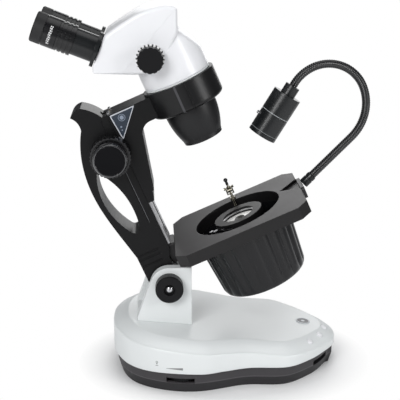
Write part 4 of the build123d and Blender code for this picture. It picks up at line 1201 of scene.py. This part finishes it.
@dataclass
class HeadShell:
    """The head's white shell: a wide wing behind, and a round column in front.

    Attributes:
        palette: Materials.
        side_view: x, z and rounding of the wing's corners, anticlockwise.
        wing_half_width: Half the wing's width behind the facet line.
        facet: The two ends of the facet line.
        facet_fall: Share of the distance beyond the line by which the half width falls.
        column: Radius of the column.
        column_edge: Radius of the column's upper edge.
        column_top: Height from which the column's top falls.
        column_foot: Height of the column's lower end.
        scale_ring: Radius and height of the zoom's scale ring.
    """

    palette: Palette
    side_view: Sequence[tuple[float, float, float]] = (
        (29.5, 293.2, 2.5),
        (60.0, 277.8, 3.0),
        (76.0, 269.9, 6.0),
        (97.0, 262.0, 8.0),
        (118.0, 273.0, 10.0),
        (142.6, 295.5, 3.0),
        (154.2, 323.5, 4.0),
        (143.5, 331.5, 9.0),
        (114.0, 337.2, 14.0),
        (86.0, 333.6, 14.0),
        (61.5, 328.6, 3.0),
        (32.3, 299.9, 2.5),
    )
    wing_half_width: float = 46.6
    facet: Outline = ((62.7, 280.2), (139.3, 316.7))
    facet_fall: float = 0.17
    column: float = 42.8
    column_edge: float = 7.0
    column_top: float = 300.5
    column_foot: float = 241.1
    scale_ring: Outline = ((4.3, 45.5), (17.4, 45.5), (17.4, 50.5), (17.0, 50.9), (4.3, 50.9))

    def half_width(self, flat: np.ndarray) -> np.ndarray:
        """Half the wing's width at points of its side view.

        The width is even behind a slanting facet line, and beyond the line it falls by a fixed
        share of the distance from it.

        Args:
            flat: (n, 2) array of x and z.

        Returns:
            Half widths.
        """
        low, high = np.array(self.facet)
        along = unit(high - low)
        beyond = (flat - low) @ np.array([along[1], -along[0]])
        return self.wing_half_width - self.facet_fall * np.maximum(beyond, 0.0)

    def wing(self) -> Surface:
        """The wide rear part that carries the eyepieces.

        A fan of rings shrinks towards the middle of the side view, so that the facet line shows,
        and each point takes its width from half_width; the outermost rings follow a quarter
        circle, whose radius eases in from the wing's thin tip by a smooth step.

        Returns:
            Points and faces.
        """
        corners = np.array(self.side_view)
        outline = even_loop(rounded_corners(corners[:, :2], corners[:, 2]), 300)
        normal = inward_normals(outline)
        ease = np.clip((outline[:, :1] - 34.0) / 26.0, 0.0, 1.0)
        rounding, rings = 1.2 + 3.4 * ease**2 * (3 - 2 * ease), []
        middle = np.array([100.0, 299.0])
        inset = outline + normal * rounding
        for share in np.linspace(0.03, 0.97, 26):
            flat = middle + (inset - middle) * share
            rings.append(np.column_stack([flat[:, 0], -self.half_width(flat), flat[:, 1]]))
        for angle in np.linspace(np.pi / 2, 0, 7):
            flat = outline + normal * rounding * (1 - np.cos(angle))
            wide = self.half_width(flat) - rounding[:, 0] * (1 - np.sin(angle))
            rings.append(np.column_stack([flat[:, 0], -wide, flat[:, 1]]))
        rings += [ring * np.array([1.0, -1.0, 1.0]) for ring in rings[::-1]]
        return np.vstack(rings), [face[::-1] for face in capped_faces(len(rings), len(outline))]

    def nose(self) -> Surface:
        """The column in front, round like the drum, with a slanting top.

        Rings climb the round wall to the slanting top, turn over its edge along a quarter
        circle, and close in on the middle. The top's height falls from the notch to the front.

        Returns:
            Points and faces.
        """
        turn = np.linspace(0, 2 * np.pi, 144, endpoint=False)
        flattening, slope_start, slope, front_foot = 0.985, 142.0, 1.62, 262.5

        def ring(radius: float, drop: float | None, height: float = 0.0) -> np.ndarray:
            """A ring at a drop below the slanting top, or at an even height without one."""
            x = OPTICAL_X + radius * np.cos(turn)
            y = radius * np.sin(turn) * flattening
            top = self.column_top - slope * np.maximum(x - slope_start, 0.0)
            top = np.minimum(self.column_top - 0.5, top)
            z = np.full(len(turn), height) if drop is None else np.maximum(top - drop, front_foot)
            return np.column_stack([x, y, z])

        wall, edge, foot = self.column, self.column_edge, self.column_foot
        rings = [ring(wall - inset, None, foot) for inset in (4.8, 0.6)]
        rings += [ring(wall, None, foot + rise) for rise in (0.6, 10.9)]
        for angle in np.linspace(0.0, 1.0, 8) * np.pi / 2:
            rings.append(ring(wall - edge * (1 - math.cos(angle)), edge * (1 - math.sin(angle))))
        rings += [ring(radius, 0.0) for radius in (32.0, 24.0, 14.0, 2.0)]
        return np.vstack(rings), capped_faces(len(rings), len(turn))

    def build(self) -> bpy.types.Object:
        """Make the shell and the zoom's scale rings.

        Returns:
            The shell's object.
        """
        wing_points, wing_faces = self.wing()
        nose_points, nose_faces = self.nose()
        parts = [(stand(wing_points), wing_faces), (stand(nose_points), nose_faces)]
        points, faces = join(parts)
        obj = make_object("head_shell", points, faces, [self.palette["white shell"]], sharp=40.0)
        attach(obj, "head")
        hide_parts("head_housing")
        profile = np.array(self.scale_ring)
        origin = stand_point(ZOOM_PLACE[0], 0.0, ZOOM_PLACE[1])
        rings = [lathe(profile, origin, way * ACROSS, STAND_X, 96) for way in (-1.0, 1.0)]
        points, faces = join(rings)
        scale = make_object("zoom_scale_rings", points, faces, [self.palette["pale scale"]])
        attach(scale, "head")
        return obj


@dataclass
class LampHousing:
    """The fluted black housing under the stage.

    Attributes:
        palette: Materials.
        flutes: Number of broad upright flutes.
        floor: Radius and height of the outer floor and its rounded edge.
        wall_foot: Radius and height of the outer wall's foot.
        wall_rise: How far the outer wall widens and rises.
        inner: Radius and height of the inner wall, from its rim down.
        flute_depth: Height and depth of the flutes at three places of the wall.
    """

    palette: Palette
    flutes: int = 22
    floor: Outline = ((0.5, -49.95), (52.0, -49.95), (54.6, -49.6), (56.4, -48.0), (57.4, -45.5))
    wall_foot: tuple[float, float] = (57.9, -45.0)
    wall_rise: tuple[float, float] = (7.0, 74.9)
    inner: Outline = ((58.6, 29.9), (58.4, 22.0), (55.0, -40.0), (54.0, -46.8), (0.5, -46.8))
    flute_depth: Outline = ((-49.0, 0.3), (-40.0, 2.2), (30.0, 2.3))

    def build(self) -> bpy.types.Object:
        """Make the housing.

        The outer wall tapers straight down; its radius is lowered by the flute depth times one
        minus a power of the absolute sine of half the flute angle, so that broad rounded ribs
        meet in narrow grooves. The inner wall is plain.

        Returns:
            The housing's object.
        """
        share = np.linspace(0.02, 1.0, 10)[:, None]
        wall = np.array(self.wall_foot) + np.array(self.wall_rise) * share
        profile = np.vstack([self.floor, wall, self.inner])
        first, last = 3, len(self.floor) + len(wall)
        heights, depths = np.array(self.flute_depth).T

        def ripple(radius: np.ndarray, theta: np.ndarray) -> np.ndarray:
            """Lower the outer wall's radius in the grooves between the ribs."""
            depth = np.zeros(len(profile))
            depth[first:last] = np.interp(profile[first:last, 1], heights, depths)
            wave = 1.0 - np.abs(np.sin(theta * self.flutes / 2)) ** 0.85
            return radius - depth[:, None] * wave

        origin = stand_point(OPTICAL_X, 0.0, 0.0)
        points, faces = lathe(profile, origin, STAND_Z, STAND_X, 264, ripple)
        obj = make_object("fluted_housing", points, faces, [self.palette["glossy black"]], sharp=55.0)
        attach(obj, "stand")
        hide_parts("lamp_housing")
        return obj


@dataclass
class Gooseneck:
    """The ribbed tube that carries the lamp, with its ferrule.

    Attributes:
        palette: Materials.
        start: Foot of the ferrule in the lamp's side view.
        heading: Direction of the straight run, in degrees above the stage.
        pitch: Distance from one rib to the next.
        radius: Radius over the ribs.
        straight: Length of the straight run, with the ferrule.
        ferrule: Length of the ferrule.
        bends: Radius and turn in degrees of each bend, in order.
        bending: Where along the tube its hand-set bend starts and ends.
        ferrule_profile: Radius and height of the ferrule.
    """

    palette: Palette
    start: tuple[float, float] = (212.7, 42.8)
    heading: float = 22.0
    pitch: float = 2.7
    radius: float = 5.45
    straight: float = 87.0
    ferrule: float = 16.0
    bends: Outline = ((60.0, 68.0), (49.0, 90.0), (52.0, 35.0))
    bending: tuple[float, float] = (38.0, 74.0)
    ferrule_profile: Outline = (
        (5.2, 0.0),
        (6.1, 0.0),
        (6.45, 0.6),
        (6.45, 9.0),
        (5.9, 9.6),
        (5.9, 10.4),
        (6.45, 11.0),
        (6.45, 15.2),
        (5.9, 16.0),
        (5.2, 16.0),
    )

    def path(self) -> tuple[np.ndarray, np.ndarray, np.ndarray]:
        """Walk the tube's centre line.

        The heading starts at the straight run's and grows evenly along each bend by the bend's
        turn over its length; the places are the running sum of the steps.

        Returns:
            Side-view places, headings in radians, and distances along the tube.
        """
        neck = 4.0
        arcs = [radius * math.radians(turn) for radius, turn in self.bends]
        lengths = [self.straight - self.ferrule] + arcs + [neck]
        turns = [0.0] + [math.radians(turn) for _, turn in self.bends] + [0.0]
        step = 0.34
        distance = np.arange(0.0, sum(lengths), step)
        ends = np.concatenate([[0.0], np.cumsum(lengths)])
        angle_ends = np.radians(self.heading) + np.concatenate([[0.0], np.cumsum(turns)])
        angle = np.interp(distance, ends, angle_ends)
        first = np.array(self.start) + self.ferrule * np.array([np.cos(angle[0]), np.sin(angle[0])])
        mid = 0.5 * (angle[1:] + angle[:-1])
        moves = step * np.stack([np.cos(mid), np.sin(mid)], -1)
        places = first + np.vstack([[0.0, 0.0], np.cumsum(moves, axis=0)])
        return places, angle, distance

    def tube(self) -> Surface:
        """Sweep the ribbed section along the centre line.

        The radius at distance d is the rib radius less a small depth times a power of the
        absolute cosine of pi d over the pitch, which gives round ribs and narrow valleys.

        Returns:
            Points and faces.
        """
        places, angle, distance = self.path()
        valley = np.abs(np.cos(np.pi * distance / self.pitch)) ** 4
        radius = self.radius - 0.45 * valley
        around = 28
        turn = np.linspace(0, 2 * np.pi, around, endpoint=False)
        across = np.stack([-np.sin(angle), np.cos(angle)], -1)
        offset = radius[:, None] * np.cos(turn)[None, :]
        x = places[:, :1] + across[:, :1] * offset
        z = places[:, 1:] + across[:, 1:] * offset
        y = LAMP_Y + radius[:, None] * np.sin(turn)[None, :]
        points = np.stack([x.reshape(-1), y.reshape(-1), z.reshape(-1)], -1)
        return stand(points), capped_faces(len(places), around)

    def build(self) -> bpy.types.Object:
        """Make the tube and the ferrule.

        Returns:
            The tube's object.
        """
        points, faces = self.tube()
        tube = make_object("gooseneck_tube", points, faces, [self.palette["gooseneck black"]], sharp=80.0)
        angle = math.radians(self.heading)
        along = unit(stand_point(math.cos(angle), 0, math.sin(angle)) - STAND_ORIGIN)
        foot = stand(np.array([[self.start[0], LAMP_Y, self.start[1]]]))[0]
        start, end = (foot + along * reach for reach in self.bending)
        start * MM
        end * MM
        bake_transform(tube)
        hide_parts("gooseneck_bend", "gooseneck_upper")
        points, faces = lathe(np.array(self.ferrule_profile), foot, along, ACROSS, 48)
        ferrule = make_object("gooseneck_ferrule", points, faces, [self.palette["anodised"]])
        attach(ferrule, "stand")
        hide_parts("gooseneck_lower")
        return tube


@dataclass
class FocusCaps:
    """The smooth caps of the focus knobs, each with a bright rim line.

    Attributes:
        palette: Materials.
        place: Place of the focus shaft in the side view.
        profile: Radius and distance from the middle of the arm.
        rim: First and last ring of faces that belong to the rim.
    """

    palette: Palette
    place: tuple[float, float] = (5.0, 190.0)
    profile: Outline = (
        (5.2, 47.1),
        (20.4, 47.1),
        (21.1, 47.8),
        (21.1, 62.4),
        (20.7, 63.9),
        (19.9, 64.8),
        (18.9, 64.9),
        (18.5, 64.2),
        (18.0, 63.3),
        (9.0, 63.1),
        (0.3, 63.1),
    )
    rim: tuple[int, int] = (2, 7)

    def build(self) -> bpy.types.Object:
        """Make both caps.

        Returns:
            The caps' object.
        """
        origin, around = stand_point(self.place[0], 0.0, self.place[1]), 96
        profile = np.array(self.profile)
        parts = [lathe(profile, origin, way * ACROSS, STAND_X, around) for way in (-1.0, 1.0)]
        ring = np.arange(len(parts[0][1])) // around
        slots = np.where((ring >= self.rim[0]) & (ring <= self.rim[1]), 1, 0)
        points, faces = join(parts)
        colors = [self.palette["cap face"], self.palette["cap rim"]]
        obj = make_object("focus_cap_pair", points, faces, colors, np.tile(slots, 2))
        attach(obj, "focus_drive")
        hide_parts("focus_caps")
        return obj


@dataclass
class Badges:
    """The three-cornered badges on the carriage: a dark field, a pale border and a round emblem.

    Attributes:
        palette: Materials.
        corners: Corners of the plate in the side view.
        emblem: Place, outer radius and inner radius of each disc or ring on the plate.
    """

    palette: Palette
    corners: Outline = ((23.4, 234.4), (57.0, 234.4), (26.6, 199.8))
    emblem: Sequence[tuple[tuple[float, float], float, float]] = (
        ((36.5, 226.6), 4.6, 3.9),
        ((36.5, 226.6), 2.6, 0.1),
        ((31.2, 216.0), 1.2, 0.1),
        ((30.7, 211.8), 0.9, 0.1),
    )

    def plate(self, way: float, inset: float, low: float, high: float) -> Surface:
        """One three-cornered plate with rounded corners.

        Args:
            way: Minus one for the near side, one for the far side.
            inset: How far the outline is drawn in.
            low: Distance of its back from the arm's middle.
            high: Distance of its face from the arm's middle.

        Returns:
            Points and faces.
        """
        corners = np.array(self.corners)
        middle = corners.mean(0)
        inner_radius, corner_radius = 8.2, 1.6
        shrink = 1 - inset / inner_radius
        outline = rounded_corners(middle + (corners - middle) * shrink, [corner_radius * shrink] * 3, 6)
        around = len(outline)
        near = np.column_stack([outline[:, 0], np.full(around, way * high), outline[:, 1]])
        back = np.column_stack([outline[:, 0], np.full(around, way * low), outline[:, 1]])
        points = stand(np.vstack([back, near]))
        faces = capped_faces(2, around)
        if way > 0:
            faces = [f[::-1] for f in faces]
        return points, faces

    def build(self) -> bpy.types.Object:
        """Make both badges.

        Returns:
            The badges' object.
        """
        parts, slots = [], []
        for way in (-1.0, 1.0):
            for inset, low, high, slot in ((0.0, 25.0, 25.5, 1), (1.0, 25.1, 25.7, 0)):
                part = self.plate(way, inset, low, high)
                parts.append(part)
                slots += [slot] * len(part[1])
            for place, outer, inner in self.emblem:
                profile = np.array([(inner, 25.2), (outer, 25.2), (outer, 25.76), (inner, 25.78)])
                origin = stand_point(place[0], 0.0, place[1])
                around = 32
                part = lathe(profile, origin, way * ACROSS, STAND_X, around)
                if inner > 1.0:
                    # an open ring: its caps give way to a wall from the first ring to the last
                    last, onward = 3 * around, [(k + 1) % around for k in range(around)]
                    wall = [[k, k + last, onward[k] + last, onward[k]] for k in range(around)]
                    part = (part[0], part[1][:-2] + wall)
                parts.append(part)
                slots += [2] * len(part[1])
        points, faces = join(parts)
        obj = make_object(
            "badge_pair",
            points,
            faces,
            [self.palette["badge blue"], self.palette["badge border"], self.palette["badge emblem"]],
            np.array(slots),
        )
        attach(obj, "carriage")
        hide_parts("badge_plates")
        return obj


@dataclass
class StoneGrips:
    """The stone holder's black sleeve and end ball, and the bars that turn its clamp.

    Attributes:
        palette: Materials.
        ball: Place of the holder's ball in the stand frame.
        lean: Rise of the rod over the stage, in degrees.
        handle: Radius and height of the sleeve and the end ball along the rod.
        bar: Radius and height of the turning bar, which lies square to the rod.
        bar_height: Place of the bar along the rod.
        nut: Radius and height of the clamp's nut along the rod.
    """

    palette: Palette
    ball: tuple[float, float, float] = (OPTICAL_X, 64.5, 58.8)
    lean: float = 46.0
    handle: Outline = (
        (1.3, 9.0),
        (1.9, 9.3),
        (1.9, 13.4),
        (1.5, 13.9),
        (1.4, 14.6),
        (2.3, 15.2),
        (2.9, 16.6),
        (2.9, 17.6),
        (2.2, 19.0),
        (0.2, 19.6),
    )
    bar: Outline = (
        (0.2, -7.2),
        (1.7, -7.0),
        (1.9, -5.0),
        (1.0, -4.6),
        (1.0, 4.6),
        (1.9, 5.0),
        (1.7, 7.0),
        (0.2, 7.2),
    )
    bar_height: float = 4.4
    nut: Outline = ((1.4, 2.2), (2.7, 2.6), (2.7, 6.0), (1.4, 6.6))

    def build(self) -> None:
        """Make the handle, and the bar with its nut."""
        lean = math.radians(self.lean)
        axis = STAND_Z * math.sin(lean) + ACROSS * math.cos(lean)
        ball = stand_point(*self.ball)
        points, faces = lathe(np.array(self.handle), ball, axis, STAND_X, 24)
        handle = make_object("stone_handle", points, faces, [self.palette["glossy black"]])
        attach(handle, "stone_rod")
        bar = lathe(np.array(self.bar), ball + axis * self.bar_height, STAND_X, ACROSS, 20)
        nut = lathe(np.array(self.nut), ball, axis, STAND_X, 12)
        points, faces = join([bar, nut])
        bars = make_object("stone_clamp_bars", points, faces, [self.palette["dull metal"]])
        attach(bars, "stone_rod")


@dataclass
class CoverBadge:
    """The round badge on the nose of the cover: a dark face and a pale middle in a pale ring.

    Attributes:
        palette: Materials.
        place: Distance of its middle from the origin.
        level: Height of the cover's top above the origin, which falls from there to the badge.
        profile: Radius and height above the cover.
    """

    palette: Palette
    place: float = 106.0
    level: float = 61.2
    profile: Outline = (
        (9.3, -0.2),
        (9.4, 0.7),
        (8.9, 1.1),
        (8.0, 1.1),
        (7.7, 0.8),
        (2.6, 0.8),
        (2.4, 1.0),
        (0.2, 1.0),
    )

    def build(self) -> None:
        """Make the badge, square to the sloping cover."""
        axis = np.array([math.sin(BASE_SLOPE), 0.0, math.cos(BASE_SLOPE)])
        across = np.array([math.cos(BASE_SLOPE), 0.0, -math.sin(BASE_SLOPE)])
        origin = np.array([self.place, 0.0, self.level - self.place * math.tan(BASE_SLOPE)])
        around, face_ring = 64, 4
        points, faces = lathe(np.array(self.profile), origin, axis, across, around)
        slots = np.where(np.arange(len(faces)) // around == face_ring, 0, 1)
        colors = [self.palette["inlay dark"], self.palette["inlay"]]
        obj = make_object("cover_badge_face", points, faces, colors, slots)
        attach(obj, "base")
        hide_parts("cover_badge")


@dataclass
class CoverSpots:
    """Three low domes on the shoulder by the nose.

    Attributes:
        palette: Materials.
        places: Middle of each dome's foot.
        profile: Radius and height of a dome.
        fan: The point from which the domes lean away.
        lean: How far a dome leans outward for each part that it rises.
    """

    palette: Palette
    places: Sequence[tuple[float, float, float]] = (
        (133.0, -10.0, 46.4),
        (123.5, -34.0, 46.2),
        (107.0, -56.0, 46.6),
    )
    profile: Outline = ((4.0, -1.2), (4.0, 0.5), (3.2, 1.2), (1.8, 1.6), (0.2, 1.7))
    fan: float = 60.0
    lean: tuple[float, float] = (0.43, 0.9)

    def build(self) -> None:
        """Make the domes, each square to the shoulder."""
        out, rise = self.lean
        parts = []
        for x, y, z in self.places:
            away = unit([x - self.fan, y, 0.0])
            axis = unit([out * away[0], out * away[1], rise])
            across = unit(np.cross([0.0, 0.0, 1.0], axis))
            parts.append(lathe(np.array(self.profile), np.array([x, y, z]), axis, across, 32))
        points, faces = join(parts)
        obj = make_object("cover_spots", points, faces, [self.palette["white shell"]])
        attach(obj, "base")


@dataclass
class LockScrews:
    """The bright domed screws in the middle of the lock knobs.

    Attributes:
        palette: Materials.
        profile: Radius and distance from the middle of the microscope.
    """

    palette: Palette
    profile: Outline = ((3.6, 50.0), (3.6, 52.1), (2.7, 52.8), (0.9, 53.1), (0.7, 52.4), (0.2, 52.3))

    def build(self) -> None:
        """Make a screw for each knob."""
        centre = stand_point(AXLE_PLACE[0], 0.0, AXLE_PLACE[1])
        for name, way in (("near", -1.0), ("far", 1.0)):
            points, faces = lathe(np.array(self.profile), centre, way * ACROSS, STAND_X, 32)
            obj = make_object(f"lock_screw_{name}", points, faces, [self.palette["bright metal"]])
            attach(obj, f"lock_knob_{name}")


@dataclass
class CentreStop:
    """The small black disc that shades the middle of the iris opening, on its stem.

    Attributes:
        palette: Materials.
        profile: Radius and height in the stand frame.
    """

    palette: Palette
    profile: Outline = (
        (0.2, 31.0),
        (1.2, 31.0),
        (1.2, 37.6),
        (6.6, 37.8),
        (6.9, 38.2),
        (6.6, 38.7),
        (0.2, 38.8),
    )

    def build(self) -> None:
        """Make the stop."""
        foot = stand_point(OPTICAL_X, 0.0, 0.0)
        points, faces = lathe(np.array(self.profile), foot, STAND_Z, STAND_X, 48)
        obj = make_object("centre_stop", points, faces, [self.palette["glossy black"]])
        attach(obj, "stand")


# --------------------------------------------------------------------------- studio and camera
@dataclass
class Studio:
    """A pale floor, soft lights, and a camera on the near side.

    Attributes:
        palette: Materials, not used.
        target: The point that the camera looks at, in millimetres.
        distance: Distance of the camera from it, in millimetres.
        lens: Focal length of the lens.
    """

    palette: Palette
    target: tuple[float, float, float] = (-33.4, 0.0, 224.0)
    distance: float = 1300.0
    lens: float = 90.0

    def floor(self) -> None:
        """Lay the floor, which shows as plain white away from the microscope."""
        mesh = bpy.data.meshes.new("floor")
        size = 6.0
        corners = [(-size, -size, 0), (size, -size, 0), (size, size, 0), (-size, size, 0)]
        mesh.from_pydata(corners, [], [(0, 1, 2, 3)])
        obj = bpy.data.objects.new("floor", mesh)
        bpy.context.scene.collection.objects.link(obj)
        material = bpy.data.materials.new("studio floor")
        material.use_nodes = True
        tree = material.node_tree
        shader = tree.nodes["Principled BSDF"]
        shader.inputs["Base Color"].default_value = (0.9, 0.9, 0.9, 1.0)
        shader.inputs["Roughness"].default_value = 0.7
        x, y, _ = object_axes(tree)
        away = (distance(x, y, (0.0, 0.0), 1.25) - 172.0).mask(52.0)
        path = tree.nodes.new("ShaderNodeLightPath")
        white = tree.nodes.new("ShaderNodeEmission")
        mix = tree.nodes.new("ShaderNodeMixShader")
        seen = away * Field(tree, path.outputs["Is Camera Ray"])
        tree.links.new(seen.socket, mix.inputs[0])
        tree.links.new(shader.outputs[0], mix.inputs[1])
        tree.links.new(white.outputs[0], mix.inputs[2])
        tree.links.new(mix.outputs[0], tree.nodes["Material Output"].inputs["Surface"])
        mesh.materials.append(material)

    def world(self) -> None:
        """Set the surroundings: soft grey light, plain white to the camera."""
        world = bpy.data.worlds.new("studio")
        world.use_nodes = True
        tree = world.node_tree
        back = tree.nodes["Background"]
        back.inputs["Color"].default_value = (0.95, 0.97, 1.0, 1.0)
        white = tree.nodes.new("ShaderNodeBackground")
        white.inputs["Color"].default_value = (1.0, 1.0, 1.0, 1.0)
        path = tree.nodes.new("ShaderNodeLightPath")
        strength = 0.34 - Field(tree, path.outputs["Is Glossy Ray"]) * 0.22
        tree.links.new(strength.socket, back.inputs["Strength"])
        mix = tree.nodes.new("ShaderNodeMixShader")
        tree.links.new(path.outputs["Is Camera Ray"], mix.inputs[0])
        tree.links.new(back.outputs[0], mix.inputs[1])
        tree.links.new(white.outputs[0], mix.inputs[2])
        tree.links.new(mix.outputs[0], tree.nodes["World Output"].inputs["Surface"])
        bpy.context.scene.world = world

    def area(self, name: str, place: Sequence[float], size: float, power: float) -> None:
        """Hang a square soft light that faces the microscope.

        Args:
            name: Light name.
            place: Place in metres.
            size: Side of the light in metres.
            power: Power in watts.
        """
        light = bpy.data.lights.new(name, "AREA")
        light.size = size
        light.energy = power
        obj = bpy.data.objects.new(name, light)
        obj.location = place
        aim = Vector((-0.03, 0.0, 0.24)) - Vector(place)
        obj.rotation_euler = aim.to_track_quat("-Z", "Y").to_euler()
        bpy.context.scene.collection.objects.link(obj)

    def camera(self) -> None:
        """Place the camera."""
        forward = np.array([0.04781, 0.95820, -0.28208])
        right = np.array([0.99876, -0.04984, 0.0])
        upward = np.cross(right, forward)
        place = (np.array(self.target) - self.distance * forward) * MM
        data = bpy.data.cameras.new("camera")
        data.lens = self.lens
        data.sensor_width = 36.0
        obj = bpy.data.objects.new("camera", data)
        turn = Matrix((right, upward, -forward)).transposed().to_4x4()
        obj.matrix_world = Matrix.Translation(Vector(place)) @ turn
        bpy.context.scene.collection.objects.link(obj)
        bpy.context.scene.camera = obj

    def build(self) -> None:
        """Build the studio."""
        self.floor()
        self.world()
        self.area("key", (-1.0, -1.8, 1.3), 1.0, 30.0)
        self.area("fill", (1.7, -1.1, 0.8), 0.6, 12.0)
        self.area("top", (0.1, 0.2, 2.2), 1.6, 12.0)
        self.area("back", (0.3, 2.0, 0.85), 1.4, 11.0)
        self.camera()
        scene = bpy.context.scene
        scene.view_settings.view_transform = "Standard"
        scene.view_settings.look = "None"


def main() -> None:
    """Build the whole scene."""
    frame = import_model()
    palette = Palette(Effects())
    CadPaint(palette, frame["nodes"]).build()
    surfaces = (BaseCover, HeadShell, LampHousing, Gooseneck, FocusCaps, Badges)
    trim = (StoneGrips, CoverBadge, CoverSpots, LockScrews, CentreStop)
    for sub_assembly in surfaces + trim:
        sub_assembly(palette).build()
        log.info("built %s", sub_assembly.__name__)
    Studio(palette).build()


if __name__ == "__main__":
    main()
